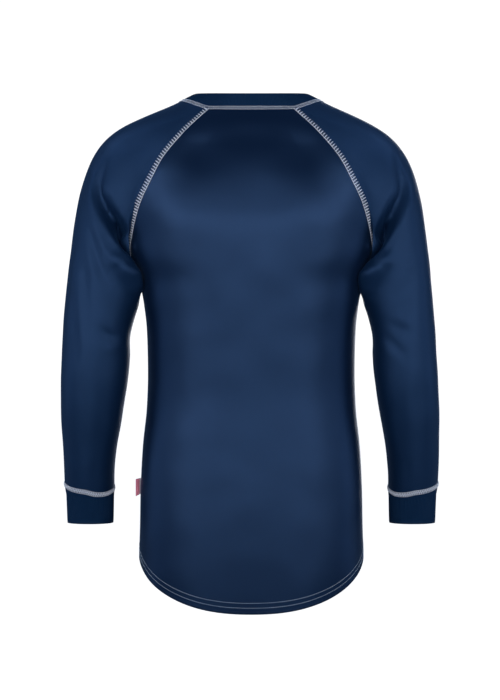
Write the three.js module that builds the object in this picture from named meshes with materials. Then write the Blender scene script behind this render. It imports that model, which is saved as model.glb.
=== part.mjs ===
// A long-sleeved thermal top with raglan sleeves, filled out as it hangs when it is worn.
// Knitted back, front and two one-piece sleeves, a doubled rib neckband and cuffs, a curved hem that
// is longer at the back, and a small folded tab sewn into the left side seam.
//
// Millimetres. +X is the wearer's left, -Y the front, +Z up. The origin is between the two points
// where the neckband meets the tops of the shoulders.

import * as THREE from "three";

// Cloth and seams
const CLOTH = 2; // wall of the brushed knit
const RIB = 2.6; // wall of the doubled rib in neckband and cuffs
const HEM_EXTRA = 1; // the turned-up hem adds this inside
const HEM_DEPTH = 20;
const SEAM_GAP = 0.3; // left between two pieces at every seam

// Grid of each piece
const COLUMNS = 20; // across the back and the front
const BODY_ROWS = 15; // hem to underarm
const SEAM_STEPS = 12; // underarm to neckband, along each raglan seam
const NECK_STEPS = 8; // across the top of each sleeve, along the neckband
const AROUND = 2 * SEAM_STEPS + NECK_STEPS; // round a sleeve
const BAND_ROWS = 3;
const CUFF_ROWS = 4;

// Key heights
const UNDERARM_Z = -252;
const HEM_SIDE_Z = -722; // the hem's highest point, at the side seams
const HEM_DROP = { back: 87, front: 60 };
const HEM_CURVE = 1.1; // how round the hem's corners are

// Level sections of the body as if it had no sleeves. They are rounder than a box and squarer than
// an ellipse by SECTION_POWER. halfWidth is along X, back and front are along Y at the middle.
const SECTION_POWER = 2.3;
const BODY_SECTIONS = [
  { z: 10, halfWidth: 104, back: 62, front: 40, sideY: -2 },
  { z: -16, halfWidth: 149, back: 76, front: 52, sideY: -1 },
  { z: -40, halfWidth: 200, back: 88, front: 62, sideY: 0 },
  { z: -62, halfWidth: 229, back: 96, front: 72, sideY: 0 },
  { z: -100, halfWidth: 239, back: 107, front: 87, sideY: 0 },
  { z: -135, halfWidth: 230, back: 113.5, front: 99, sideY: 0 },
  { z: -180, halfWidth: 212, back: 118.5, front: 111, sideY: 0 },
  { z: -215, halfWidth: 200, back: 119, front: 116, sideY: 0 },
  { z: -252, halfWidth: 191, back: 117.5, front: 117.5, sideY: 0 },
  { z: -285, halfWidth: 177, back: 115.3, front: 117, sideY: 0 },
  { z: -317, halfWidth: 172.5, back: 113, front: 116, sideY: 0 },
  { z: -360, halfWidth: 167.4, back: 110, front: 114, sideY: -1 },
  { z: -430, halfWidth: 165.4, back: 106, front: 111, sideY: -3 },
  { z: -490, halfWidth: 167.2, back: 104.5, front: 110, sideY: -3 },
  { z: -545, halfWidth: 173, back: 105.5, front: 111, sideY: -1 },
  { z: -610, halfWidth: 176.6, back: 108.5, front: 112, sideY: 1 },
  { z: -680, halfWidth: 178, back: 111.5, front: 112, sideY: 2 },
  { z: -750, halfWidth: 180, back: 112.5, front: 110.5, sideY: 2 },
  { z: -820, halfWidth: 180, back: 111, front: 109, sideY: 2 },
];

// Raglan seams from the underarm up to the neckband. Their depth comes from the body's sections.
const BACK_SEAM = [
  { z: UNDERARM_Z, x: 191 },
  { z: -232, x: 192 },
  { z: -212, x: 189.5 },
  { z: -184, x: 183 },
  { z: -159, x: 174.5 },
  { z: -134, x: 162.5 },
  { z: -102, x: 146 },
  { z: -84, x: 134 },
  { z: -60, x: 114 },
  { z: -40, x: 94.5 },
  { z: -16, x: 68.5 },
];
const FRONT_SEAM = [
  { z: UNDERARM_Z, x: 191 },
  { z: -236, x: 189.5 },
  { z: -215, x: 183.5 },
  { z: -190, x: 172 },
  { z: -160, x: 154.5 },
  { z: -130, x: 134 },
  { z: -100, x: 111 },
  { z: -78, x: 93 },
  { z: -62, x: 79 },
];
const NECK_FRONT_Z = -100; // the neck seam at the middle of the front
const NECK_BACK_Z = -17;
const SHOULDER_POINT = { x: 113, y: 0, z: -1.5 }; // the neck seam at the top of the shoulder

// The neckband's free edge, right round the neck.
const BAND_EDGE = {
  halfWidth: 91,
  power: 2.15,
  back: { y: 67, z: 7 },
  side: { y: -2, z: 12 },
  front: { y: -77, z: -78 },
};
const BAND_BULGE = 0.8;

// Rings of a sleeve, from the top of the arm down to the cuff's seam: the middle, half sizes, the
// tilts in degrees (roll lifts the outer side, pitch drops the back), how square the ring is, and
// how many rows of the grid lead to it. extra is how much fuller the left sleeve is on its outer side.
const SLEEVE_RINGS = [
  { x: 208, y: 2, z: -167, half: 105, deep: 64, roll: 78, pitch: 0, power: 2.15, rows: 6, extra: 5 },
  { x: 231.6, y: 3, z: -285, half: 62.7, deep: 59, roll: 33, pitch: 0, power: 2.2, rows: 6, extra: 6.2 },
  { x: 237.5, y: 4, z: -322, half: 55.6, deep: 57, roll: 23, pitch: 0, power: 2.2, rows: 2, extra: 7 },
  { x: 242.9, y: 5, z: -362, half: 51.3, deep: 55.5, roll: 14, pitch: 0, power: 2.15, rows: 2, extra: 7.6 },
  { x: 244.7, y: 5, z: -402, half: 51.2, deep: 54.5, roll: 6, pitch: 2, power: 2.1, rows: 2, extra: 7 },
  { x: 248.7, y: 3, z: -450, half: 50.4, deep: 53, roll: 2, pitch: 5, power: 2.1, rows: 2, extra: 5.6 },
  { x: 253.5, y: -3, z: -500, half: 47.7, deep: 50, roll: 0, pitch: 8, power: 2.1, rows: 2, extra: 3.2 },
  { x: 258, y: -12, z: -550, half: 43.2, deep: 45.5, roll: 0, pitch: 11, power: 2.1, rows: 2, extra: 1 },
  { x: 260.3, y: -20, z: -592, half: 40.5, deep: 42, roll: 2, pitch: 13, power: 2.1, rows: 2, extra: 0 },
  { x: 260.1, y: -25, z: -617, half: 40, deep: 39.6, roll: 4, pitch: 15, power: 2.1, rows: 1, extra: 0 },
];
const CUFF_RINGS = [
  { x: 259.5, y: -27.5, z: -630, half: 38.2, deep: 38.6, roll: 3, pitch: 12, power: 2.1 },
  { x: 259.4, y: -31, z: -652, half: 37.6, deep: 37.8, roll: 1, pitch: 6, power: 2.1 },
  { x: 259.4, y: -34, z: -675, half: 37, deep: 37.2, roll: 0, pitch: 1, power: 2.1 },
];

// Which way a sleeve leaves its seam, at places counted in steps from the underarm up the back seam,
// over the neckband and down the front seam. reach is how strongly it holds that way.
const SLEEVE_START = [
  { step: 0, x: 0.75, y: 0, z: -0.66, reach: 20 },
  { step: 2, x: 0.82, y: 0.05, z: -0.57, reach: 34 },
  { step: 5, x: 0.88, y: -0.25, z: -0.4, reach: 60 },
  { step: 8, x: 0.88, y: -0.12, z: -0.49, reach: 90 },
  { step: 12, x: 0.89, y: 0, z: -0.49, reach: 105 },
  { step: 16, x: 0.89, y: 0, z: -0.5, reach: 105 },
  { step: 20, x: 0.88, y: -0.03, z: -0.51, reach: 100 },
  { step: 24, x: 0.86, y: 0.1, z: -0.5, reach: 90 },
  { step: 27, x: 0.88, y: 0.25, z: -0.4, reach: 60 },
  { step: 30, x: 0.82, y: -0.05, z: -0.57, reach: 34 },
  { step: 32, x: 0.75, y: 0, z: -0.66, reach: 20 },
];

// The largest folds of the sleeves. Each is a soft trough seen from the back (face 1) or the front
// (face -1), along a bent line from a over b to c, in X and Z. A negative depth is a ridge.
const ARMPIT_FOLDS = [
  { face: 1, ax: 206, az: -236, bx: 172, bz: -290, cx: 174, cz: -308, width: 16, depth: -21 },
  { face: 1, ax: 238, az: -80, bx: 264, bz: -160, cx: 190, cz: -262, width: 8, depth: 5.5 },
  { face: 1, ax: 248, az: -120, bx: 270, bz: -190, cx: 200, cz: -275, width: 9, depth: -3.5 },
  { face: 1, ax: 211, az: -184, bx: 204, bz: -205, cx: 194, cz: -222, width: 6, depth: 4 },
  { face: 1, ax: 228, az: -158, bx: 224, bz: -175, cx: 210, cz: -200, width: 7, depth: 2.5 },
  { face: -1, ax: 232, az: -92, bx: 262, bz: -165, cx: 192, cz: -262, width: 9, depth: 5 },
  { face: -1, ax: 244, az: -130, bx: 266, bz: -195, cx: 204, cz: -276, width: 10, depth: -3 },
];
const LEFT_FOLDS = [
  ...ARMPIT_FOLDS,
  { face: 1, ax: 254, az: -212, bx: 244, bz: -262, cx: 226, cz: -292, width: 7, depth: 3 },
  { face: 1, ax: 266, az: -255, bx: 262, bz: -310, cx: 258, cz: -375, width: 9, depth: 3.2 },
  { face: 1, ax: 283, az: -300, bx: 280, bz: -350, cx: 276, cz: -410, width: 8, depth: 2.6 },
  { face: 1, ax: 236, az: -364, bx: 226, bz: -374, cx: 212, cz: -384, width: 7, depth: 3.6 },
  { face: 1, ax: 232, az: -398, bx: 214, bz: -392, cx: 198, cz: -378, width: 8, depth: -2.6 },
  { face: -1, ax: 252, az: -380, bx: 226, bz: -404, cx: 200, cz: -400, width: 9, depth: 3.4 },
  { face: -1, ax: 262, az: -250, bx: 258, bz: -300, cx: 250, cz: -352, width: 9, depth: 2.8 },
  { face: -1, ax: 250, az: -432, bx: 228, bz: -446, cx: 206, cz: -436, width: 9, depth: 2.8 },
];
const RIGHT_FOLDS = [
  ...ARMPIT_FOLDS,
  { face: 1, ax: 262, az: -256, bx: 250, bz: -264, cx: 238, cz: -272, width: 6, depth: 2.8 },
  { face: 1, ax: 256, az: -286, bx: 246, bz: -300, cx: 228, cz: -310, width: 8, depth: 2.4 },
  { face: 1, ax: 256, az: -316, bx: 244, bz: -332, cx: 228, cz: -338, width: 8, depth: 2.8 },
  { face: 1, ax: 258, az: -374, bx: 240, bz: -372, cx: 220, cz: -354, width: 8, depth: 4.4 },
  { face: 1, ax: 246, az: -412, bx: 230, bz: -398, cx: 214, cz: -378, width: 7, depth: 3.4 },
  { face: -1, ax: 256, az: -366, bx: 230, bz: -384, cx: 200, cz: -376, width: 9, depth: 3.6 },
  { face: -1, ax: 260, az: -282, bx: 244, bz: -300, cx: 214, cz: -312, width: 9, depth: 2.8 },
  { face: -1, ax: 252, az: -424, bx: 230, bz: -438, cx: 206, cz: -430, width: 9, depth: 2.8 },
];

// Broad soft forms of the back and the front: hollows (depth above 0) and swells, round about x, z.
const BACK_FORMS = [
  { x: 84, z: -86, acrossX: 38, alongZ: 34, depth: 3 },
  { x: 96, z: -186, acrossX: 52, alongZ: 62, depth: -2.5 },
  { x: 0, z: -300, acrossX: 26, alongZ: 190, depth: 2 },
  { x: 128, z: -440, acrossX: 26, alongZ: 120, depth: 1.6 },
];
const FRONT_FORMS = [
  { x: 84, z: -190, acrossX: 56, alongZ: 46, depth: -3 },
  { x: 0, z: -200, acrossX: 24, alongZ: 60, depth: 2 },
  { x: 130, z: -430, acrossX: 28, alongZ: 110, depth: 1.6 },
];

// The folded tab in the left side seam
const TAB = { z: -616, height: 26, reach: 9, thick: 1.2, backward: 0.35 };

// Reads one column of a table at a value of its key, on a smooth curve through the rows.
function readAt(rows, key, column, value) {
  const rising = rows[1][key] > rows[0][key];
  let i = 0;
  while (i < rows.length - 2 && (rising ? value > rows[i + 1][key] : value < rows[i + 1][key])) i++;
  const p = rows[i];
  const q = rows[i + 1];
  const before = rows[Math.max(i - 1, 0)];
  const after = rows[Math.min(i + 2, rows.length - 1)];
  const span = q[key] - p[key];
  const t = Math.min(Math.max((value - p[key]) / span, 0), 1);
  const leave = ((q[column] - before[column]) / (q[key] - before[key])) * span;
  const arrive = ((after[column] - p[column]) / (after[key] - p[key])) * span;
  return hermite(p[column], q[column], leave, arrive, t);
}

function hermite(p, q, leave, arrive, t) {
  const t2 = t * t;
  const t3 = t2 * t;
  return p * (2 * t3 - 3 * t2 + 1) + leave * (t3 - 2 * t2 + t) + q * (3 * t2 - 2 * t3) + arrive * (t3 - t2);
}

function hermitePoint(p, q, leave, arrive, t) {
  return new THREE.Vector3(
    hermite(p.x, q.x, leave.x, arrive.x, t),
    hermite(p.y, q.y, leave.y, arrive.y, t),
    hermite(p.z, q.z, leave.z, arrive.z, t),
  );
}

const lerp = THREE.MathUtils.lerp;
const radians = THREE.MathUtils.degToRad;

function signedPower(value, power) {
  return Math.sign(value) * Math.abs(value) ** power;
}

// A point of the body at height z. turn is 0 at the middle of the back or front and PI / 2 at the
// left side; face is 1 for the back and -1 for the front.
function bodyPoint(face, turn, z) {
  const at = (column) => readAt(BODY_SECTIONS, "z", column, z);
  const sideY = at("sideY");
  const middleY = face > 0 ? at("back") : -at("front");
  const cosine = Math.max(Math.cos(turn), 0);
  return new THREE.Vector3(
    at("halfWidth") * signedPower(Math.sin(turn), 2 / SECTION_POWER),
    sideY + (middleY - sideY) * cosine ** (2 / SECTION_POWER),
    z,
  );
}

// The turn of the body's section at which it is x from the middle.
function turnAt(x, z) {
  const share = Math.min(x / readAt(BODY_SECTIONS, "z", "halfWidth", z), 1);
  return Math.asin(share ** (SECTION_POWER / 2));
}

// The turn and height where the raglan seam is, r steps up from the underarm.
function raglanAt(face, r) {
  const rows = (face > 0 ? BACK_SEAM : FRONT_SEAM).map((row, i) => ({ ...row, i }));
  const along = (r / SEAM_STEPS) * (rows.length - 1);
  const x = readAt(rows, "i", "x", along);
  const z = readAt(rows, "i", "z", along);
  return { turn: r === 0 ? Math.PI / 2 : turnAt(x, z), z };
}

// A point of the back's or front's grid: j rows up from the hem, and across from the right side
// seam (t = -1) to the left one (t = 1).
function bodyGrid(face, j, t) {
  if (j <= BODY_ROWS) {
    const turn = (t * Math.PI) / 2;
    const drop = face > 0 ? HEM_DROP.back : HEM_DROP.front;
    const hemZ = HEM_SIDE_Z - drop * Math.max(Math.cos(turn), 0) ** HEM_CURVE;
    // the first row above the hem is the top of its turned-up depth
    const rise = j === 0 ? 0 : HEM_DEPTH + (UNDERARM_Z - hemZ - HEM_DEPTH) * ((j - 1) / (BODY_ROWS - 1));
    return bodyPoint(face, turn, hemZ + rise);
  }
  const r = j - BODY_ROWS;
  const seam = raglanAt(face, r);
  const neckZ = face > 0 ? NECK_BACK_Z : NECK_FRONT_Z;
  const corner = raglanAt(face, SEAM_STEPS);
  const dip = (neckZ - corner.z) * (r / SEAM_STEPS) ** 2 * (1 - t * t);
  return bodyPoint(face, t * seam.turn, seam.z + dip);
}

// The neck seam over the left sleeve, s steps from the back panel's corner to the front panel's.
function neckOverSleeve(s) {
  const back = bodyGrid(1, BODY_ROWS + SEAM_STEPS, 1);
  const front = bodyGrid(-1, BODY_ROWS + SEAM_STEPS, 1);
  const top = new THREE.Vector3(SHOULDER_POINT.x, SHOULDER_POINT.y, SHOULDER_POINT.z);
  const outward = new THREE.Vector3(62, -26, 20);
  const across = new THREE.Vector3(0, -100, -20);
  const inward = new THREE.Vector3(-34, -50, -66);
  const half = NECK_STEPS / 2;
  return s <= half
    ? hermitePoint(back, top, outward, across, s / half)
    : hermitePoint(top, front, across, inward, s / half - 1);
}

// The left sleeve's seam, k steps round from the underarm.
function sleeveSeam(k) {
  if (k <= SEAM_STEPS) return bodyGrid(1, BODY_ROWS + k, 1);
  if (k < SEAM_STEPS + NECK_STEPS) return neckOverSleeve(k - SEAM_STEPS);
  return bodyGrid(-1, BODY_ROWS + AROUND - k, 1);
}

// A point k steps round a tilted ring, from its inner side by the back.
function ringPoint(ring, k) {
  const angle = (k / AROUND) * 2 * Math.PI;
  const outwards = -ring.half * signedPower(Math.cos(angle), 2 / ring.power);
  const backwards = ring.deep * signedPower(Math.sin(angle), 2 / ring.power);
  const point = new THREE.Vector3(outwards, backwards, 0);
  point.applyAxisAngle(new THREE.Vector3(1, 0, 0), -radians(ring.pitch));
  point.applyAxisAngle(new THREE.Vector3(0, 1, 0), -radians(ring.roll));
  return point.add(new THREE.Vector3(ring.x, ring.y, ring.z));
}

// Smooth direction at the middle one of three stations, by how far apart they are.
function flow(before, here, after) {
  const d0 = here.distanceTo(before);
  const d1 = after.distanceTo(here);
  const first = here.clone().sub(before).multiplyScalar(d1 / d0);
  const second = after.clone().sub(here).multiplyScalar(d0 / d1);
  return first.add(second).divideScalar(d0 + d1);
}

// One line of a sleeve down from its seam to the cuff, as on the wearer's left. side is 1 for the
// left sleeve, and -1 for the right one, which is mirrored later.
function sleeveLine(k, side) {
  const start = (column) => readAt(SLEEVE_START, "step", column, k);
  const fitted = SLEEVE_RINGS.map((ring) => {
    const more = side > 0 ? ring.extra / 2 : 0;
    return ringPoint({ ...ring, x: ring.x + more, half: ring.half + more }, k);
  });
  const stations = [sleeveSeam(k % AROUND), ...fitted];
  const directions = stations.map((here, i) => {
    if (i === 0) return new THREE.Vector3(start("x"), start("y"), start("z")).normalize();
    if (i === stations.length - 1) return here.clone().sub(stations[i - 1]).normalize();
    return flow(stations[i - 1], here, stations[i + 1]);
  });
  const line = [stations[0]];
  SLEEVE_RINGS.forEach((ring, i) => {
    const p = stations[i];
    const q = stations[i + 1];
    const length = p.distanceTo(q);
    const leave = directions[i].clone().multiplyScalar(i === 0 ? start("reach") : length);
    const arrive = directions[i + 1].clone().multiplyScalar(length);
    for (let s = 1; s <= ring.rows; s++) line.push(hermitePoint(p, q, leave, arrive, s / ring.rows));
  });
  return line;
}

// The neckband's free edge at an angle from the middle of the back.
function bandEdge(angle) {
  const c = Math.cos(angle);
  const s = Math.sin(angle);
  const end = c >= 0 ? BAND_EDGE.back : BAND_EDGE.front;
  const share = Math.abs(c) ** (2 / BAND_EDGE.power);
  // the edge runs level round the back and the sides, then dips in front
  const dip = c >= 0 ? Math.abs(c) ** 1.5 : Math.abs(c) ** 1.35;
  return new THREE.Vector3(
    BAND_EDGE.halfWidth * signedPower(s, 2 / BAND_EDGE.power),
    lerp(BAND_EDGE.side.y, end.y, share),
    lerp(BAND_EDGE.side.z, end.z, dip),
  );
}

// All points of the neck seam, from the middle of the back by the wearer's left.
function neckSeam() {
  const half = COLUMNS / 2;
  const top = BODY_ROWS + SEAM_STEPS;
  const back = (i) => bodyGrid(1, top, i / half);
  const front = (i) => bodyGrid(-1, top, i / half);
  const left = [];
  for (let i = 0; i < half; i++) left.push(back(i));
  for (let s = 0; s < NECK_STEPS; s++) left.push(neckOverSleeve(s));
  for (let i = half; i > 0; i--) left.push(front(i));
  left.push(front(0));
  const right = left.slice(1, -1).reverse().map(mirrored);
  return [...left, ...right];
}

function mirrored(point) {
  return new THREE.Vector3(-point.x, point.y, point.z);
}

// Moves the grid's points along their normals by the broad forms of the body.
function shapeBody(grid, normals, forms) {
  grid.forEach((row, j) =>
    row.forEach((point, i) => {
      const edge = Math.min(i, row.length - 1 - i) / (row.length / 2);
      const calm = Math.min(edge * 2, 1) * Math.min((grid.length - 1 - j) / 3, 1);
      forms.forEach((form) => {
        const u = (Math.abs(point.x) - form.x) / form.acrossX;
        const v = (point.z - form.z) / form.alongZ;
        point.addScaledVector(normals[j][i], -form.depth * calm * Math.exp(-u * u - v * v));
      });
    }),
  );
}

// How deep a fold is at a point, from the point's distance to the fold's bent line.
function foldDepth(fold, point, normal, side) {
  const { smoothstep } = THREE.MathUtils;
  const facing = smoothstep(normal.y * fold.face, 0.05, 0.45) * smoothstep(point.y * fold.face, 5, 25);
  if (facing === 0) return 0;
  const steps = 24;
  const x = point.x * side;
  let nearest = Infinity;
  let share = 0;
  for (let s = 0; s <= steps; s++) {
    const t = s / steps;
    const lineX = (1 - t) ** 2 * fold.ax + 2 * t * (1 - t) * fold.bx + t * t * fold.cx;
    const lineZ = (1 - t) ** 2 * fold.az + 2 * t * (1 - t) * fold.bz + t * t * fold.cz;
    const distance = Math.hypot(x - lineX, point.z - lineZ);
    if (distance < nearest) {
      nearest = distance;
      share = t;
    }
  }
  const taper = Math.sin(Math.PI * THREE.MathUtils.clamp(share, 0.06, 0.94)) ** 0.5;
  return fold.depth * facing * taper * Math.exp(-((nearest / fold.width) ** 2));
}

// Presses the folds into a sleeve, leaving its two seams where they are.
function foldSleeve(grid, normals, folds, side) {
  grid.forEach((row, j) => {
    const calm = Math.min(j / 2, (grid.length - 1 - j) / 2, 1);
    row.forEach((point, i) => {
      const depth = folds.reduce((sum, fold) => sum + foldDepth(fold, point, normals[j][i], side), 0);
      point.addScaledVector(normals[j][i], -depth * calm);
    });
  });
}

// Outward normals of a grid. A closed grid runs round, so its last column meets its first.
function gridNormals(grid, closed, outward) {
  const rows = grid.length;
  return grid.map((row, j) =>
    row.map((_, i) => {
      const n = row.length;
      const right = closed ? row[(i + 1) % n] : row[Math.min(i + 1, n - 1)];
      const left = closed ? row[(i - 1 + n) % n] : row[Math.max(i - 1, 0)];
      const above = grid[Math.min(j + 1, rows - 1)][i];
      const below = grid[Math.max(j - 1, 0)][i];
      const across = right.clone().sub(left);
      const up = above.clone().sub(below);
      return across.cross(up).multiplyScalar(outward).normalize();
    }),
  );
}

// The directions that lead into a piece, square to each seam that its grid point (j, i) lies on.
// free names the row of the grid, first, last or neither, that is an open edge and no seam.
function stepsFromSeams({ grid, closed, free }, j, i) {
  const top = grid.length - 1;
  const columns = grid[0].length;
  const point = grid[j][i];
  const right = closed ? grid[j][(i + 1) % columns] : grid[j][Math.min(i + 1, columns - 1)];
  const left = closed ? grid[j][(i - 1 + columns) % columns] : grid[j][Math.max(i - 1, 0)];
  const above = grid[Math.min(j + 1, top)][i];
  const below = grid[Math.max(j - 1, 0)][i];
  const steps = [];
  const leave = (inside, seamStart, seamEnd) => {
    const along = seamEnd.clone().sub(seamStart).normalize();
    const step = inside.clone().sub(point);
    steps.push(step.addScaledVector(along, -step.dot(along)).normalize());
  };
  if (j === 0 && free !== "first") leave(grid[1][i], left, right);
  if (j === top && free !== "last") leave(grid[j - 1][i], left, right);
  if (!closed && i === 0) leave(grid[j][1], below, above);
  if (!closed && i === columns - 1) leave(grid[j][columns - 2], below, above);
  return steps;
}

// Notes at every seam point which pieces meet there, with their normals and their steps away from it.
const seamKey = (point) => [point.x, point.y, point.z].map((v) => Math.round(v * 100)).join();

function joinSeams(pieces) {
  const seams = new Map();
  pieces.forEach((piece) =>
    piece.grid.forEach((row, j) =>
      row.forEach((point, i) => {
        const steps = stepsFromSeams(piece, j, i);
        if (!steps.length) return;
        const key = seamKey(point);
        if (!seams.has(key)) seams.set(key, []);
        seams.get(key).push({ piece, steps, normal: piece.normals[j][i] });
      }),
    ),
  );
  return seams;
}

// The direction and stretch of the wall at a seam point, half way between the pieces that meet there.
function seamNormal(meeting) {
  const distinct = [];
  meeting.forEach(({ normal }) => {
    if (distinct.every((other) => other.dot(normal) < 0.94)) distinct.push(normal);
  });
  const normal = distinct.reduce((sum, n) => sum.add(n), new THREE.Vector3()).normalize();
  const facing = distinct.reduce((sum, n) => sum + n.dot(normal), 0) / distinct.length;
  return { normal, mitre: 1 / Math.max(facing, 0.66) };
}

// How far a piece draws back from a seam point, so that all that meets there is SEAM_GAP apart.
function drawBack(piece, steps, meeting) {
  const others = meeting.filter((met) => met.piece !== piece).flatMap((met) => met.steps);
  return steps.map((step) => {
    const nearest = Math.max(-1, ...others.map((other) => other.dot(step)));
    const halfAngle = Math.acos(Math.min(nearest, 0.8)) / 2;
    return step.clone().multiplyScalar(SEAM_GAP / 2 / Math.sin(halfAngle));
  });
}

// Closes a piece's grid into a wall. The grid is the outer side, and the inner side lies inside it.
function wallGeometry(piece, seams, thickness) {
  const { grid, normals, closed, outward } = piece;
  const rows = grid.length;
  const columns = grid[0].length;
  const outer = [];
  const inner = [];
  grid.forEach((row, j) =>
    row.forEach((point, i) => {
      const steps = stepsFromSeams(piece, j, i);
      const meeting = steps.length ? seams.get(seamKey(point)) : [];
      const wall = steps.length ? seamNormal(meeting) : { normal: normals[j][i], mitre: 1 };
      const out = point.clone();
      drawBack(piece, steps, meeting).forEach((shift) => out.add(shift));
      outer.push(out);
      inner.push(out.clone().addScaledVector(wall.normal, -thickness(j) * wall.mitre));
    }),
  );
  const points = [...outer, ...inner];
  const index = [];
  // the shorter diagonal, so that two pieces that meet have the same faces along their seam
  const quad = (a, b, c, d) => {
    const shorter = points[a].distanceTo(points[c]) <= points[b].distanceTo(points[d]);
    index.push(...(shorter ? [a, b, c, a, c, d] : [a, b, d, b, c, d]));
  };
  const id = (j, i) => j * columns + (i % columns);
  const under = rows * columns;
  const wide = closed ? columns : columns - 1;
  for (let j = 0; j < rows - 1; j++) {
    for (let i = 0; i < wide; i++) {
      const corners = [id(j, i), id(j, i + 1), id(j + 1, i + 1), id(j + 1, i)];
      quad(...corners);
      quad(...corners.map((v) => v + under).reverse());
    }
    if (!closed) {
      quad(id(j, 0), id(j + 1, 0), id(j + 1, 0) + under, id(j, 0) + under);
      quad(id(j, wide) + under, id(j + 1, wide) + under, id(j + 1, wide), id(j, wide));
    }
  }
  for (let i = 0; i < wide; i++) {
    const top = rows - 1;
    quad(id(0, i) + under, id(0, i + 1) + under, id(0, i + 1), id(0, i));
    quad(id(top, i), id(top, i + 1), id(top, i + 1) + under, id(top, i) + under);
  }
  if (outward < 0) index.reverse();
  const positions = points.flatMap((p) => [p.x, p.y, p.z]);
  const geometry = new THREE.BufferGeometry();
  geometry.setAttribute("position", new THREE.Float32BufferAttribute(positions, 3));
  geometry.setIndex(index);
  return geometry;
}

// Back and front: rows from the hem up, columns from the wearer's right to the left.
function bodyPiece(face, forms) {
  const grid = [];
  for (let j = 0; j <= BODY_ROWS + SEAM_STEPS; j++) {
    const row = [];
    for (let i = 0; i <= COLUMNS; i++) row.push(bodyGrid(face, j, (2 * i) / COLUMNS - 1));
    grid.push(row);
  }
  shapeBody(grid, gridNormals(grid, false, -face), forms);
  return { grid, normals: gridNormals(grid, false, -face), closed: false, outward: -face, free: "first" };
}

// A sleeve: rows from the armhole seam down to the cuff seam, columns round from the underarm.
function sleevePiece(side, folds) {
  const lines = [];
  for (let k = 0; k < AROUND; k++) lines.push(sleeveLine(k, side));
  const placed = (point) => (side > 0 ? point.clone() : mirrored(point));
  const grid = lines[0].map((_, j) => lines.map((line) => placed(line[j])));
  foldSleeve(grid, gridNormals(grid, true, side), folds, side);
  return { grid, normals: gridNormals(grid, true, side), closed: true, outward: side, free: "neither" };
}

// A cuff: rows from the cuff seam down to the free edge.
function cuffPiece(side, sleeve) {
  const seam = sleeve.grid.at(-1);
  const stations = [seam, ...CUFF_RINGS.map((ring) => seam.map((_, k) => ringPoint(ring, k)))];
  if (side < 0) stations.slice(1).forEach((ring) => ring.forEach((p) => p.setX(-p.x)));
  const grid = [];
  for (let j = 0; j <= CUFF_ROWS; j++) {
    const along = (j / CUFF_ROWS) * (stations.length - 1);
    const i = Math.min(Math.floor(along), stations.length - 2);
    grid.push(seam.map((_, k) => stations[i][k].clone().lerp(stations[i + 1][k], along - i)));
  }
  return { grid, normals: gridNormals(grid, true, side), closed: true, outward: side, free: "last" };
}

// The neckband: rows from the neck seam to the free edge, columns round from the middle of the back.
function neckbandPiece() {
  const seam = neckSeam();
  const middle = new THREE.Vector3(0, (BAND_EDGE.back.y + BAND_EDGE.front.y) / 2, 0);
  const grid = [];
  for (let j = 0; j <= BAND_ROWS; j++) {
    const share = j / BAND_ROWS;
    const bulge = BAND_BULGE * Math.sin(Math.PI * share);
    grid.push(
      seam.map((point) => {
        const edge = bandEdge(Math.atan2(point.x, (point.y - middle.y) * 1.25));
        const away = point.clone().sub(middle).setZ(0).normalize();
        return point.clone().lerp(edge, share).addScaledVector(away, bulge);
      }),
    );
  }
  return { grid, normals: gridNormals(grid, true, -1), closed: true, outward: -1, free: "last" };
}

// The tab: a ribbon folded double, standing out of the side seam and turned a little to the back.
function tabGeometry() {
  const { height, reach, thick } = TAB;
  const profile = new THREE.Shape();
  profile.moveTo(0, -thick / 2);
  profile.lineTo(reach - thick / 2, -thick / 2);
  profile.absarc(reach - thick / 2, 0, thick / 2, -Math.PI / 2, Math.PI / 2, false);
  profile.lineTo(0, thick / 2);
  profile.closePath();
  const upright = { depth: height, bevelEnabled: false, curveSegments: 4 };
  return new THREE.ExtrudeGeometry(profile, upright).translate(0, 0, -height / 2);
}

const NAVY = { color: 0x1c2f52, roughness: 0.62, metalness: 0 };
const RIB_NAVY = { color: 0x15253f, roughness: 0.75, metalness: 0 };
const TAB_RED = { color: 0xb5384a, roughness: 0.6, metalness: 0 };

const garment = new THREE.Group();

function addMesh(name, geometry, look) {
  const mesh = new THREE.Mesh(geometry, new THREE.MeshStandardMaterial(look));
  mesh.name = name;
  garment.add(mesh);
  return mesh;
}

const back = bodyPiece(1, BACK_FORMS);
const front = bodyPiece(-1, FRONT_FORMS);
const leftSleeve = sleevePiece(1, LEFT_FOLDS);
const rightSleeve = sleevePiece(-1, RIGHT_FOLDS);
const neckband = neckbandPiece();
const leftCuff = cuffPiece(1, leftSleeve);
const rightCuff = cuffPiece(-1, rightSleeve);
const seams = joinSeams([back, front, leftSleeve, rightSleeve, neckband, leftCuff, rightCuff]);

const plain = () => CLOTH;
const hemmed = (j) => (j <= 1 ? CLOTH + HEM_EXTRA : CLOTH);
const doubled = () => RIB;
addMesh("back", wallGeometry(back, seams, hemmed), NAVY);
addMesh("front", wallGeometry(front, seams, hemmed), NAVY);
addMesh("sleeve_left", wallGeometry(leftSleeve, seams, plain), NAVY);
addMesh("sleeve_right", wallGeometry(rightSleeve, seams, plain), NAVY);
addMesh("neckband", wallGeometry(neckband, seams, doubled), RIB_NAVY);
addMesh("cuff_left", wallGeometry(leftCuff, seams, doubled), RIB_NAVY);
addMesh("cuff_right", wallGeometry(rightCuff, seams, doubled), RIB_NAVY);

const tab = addMesh("side_tab", tabGeometry(), TAB_RED);
const tabRoot = bodyPoint(1, Math.PI / 2, TAB.z);
tab.position.set(tabRoot.x + 2 * SEAM_GAP, tabRoot.y, tabRoot.z);
tab.rotation.z = TAB.backward;

export default garment;
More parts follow.
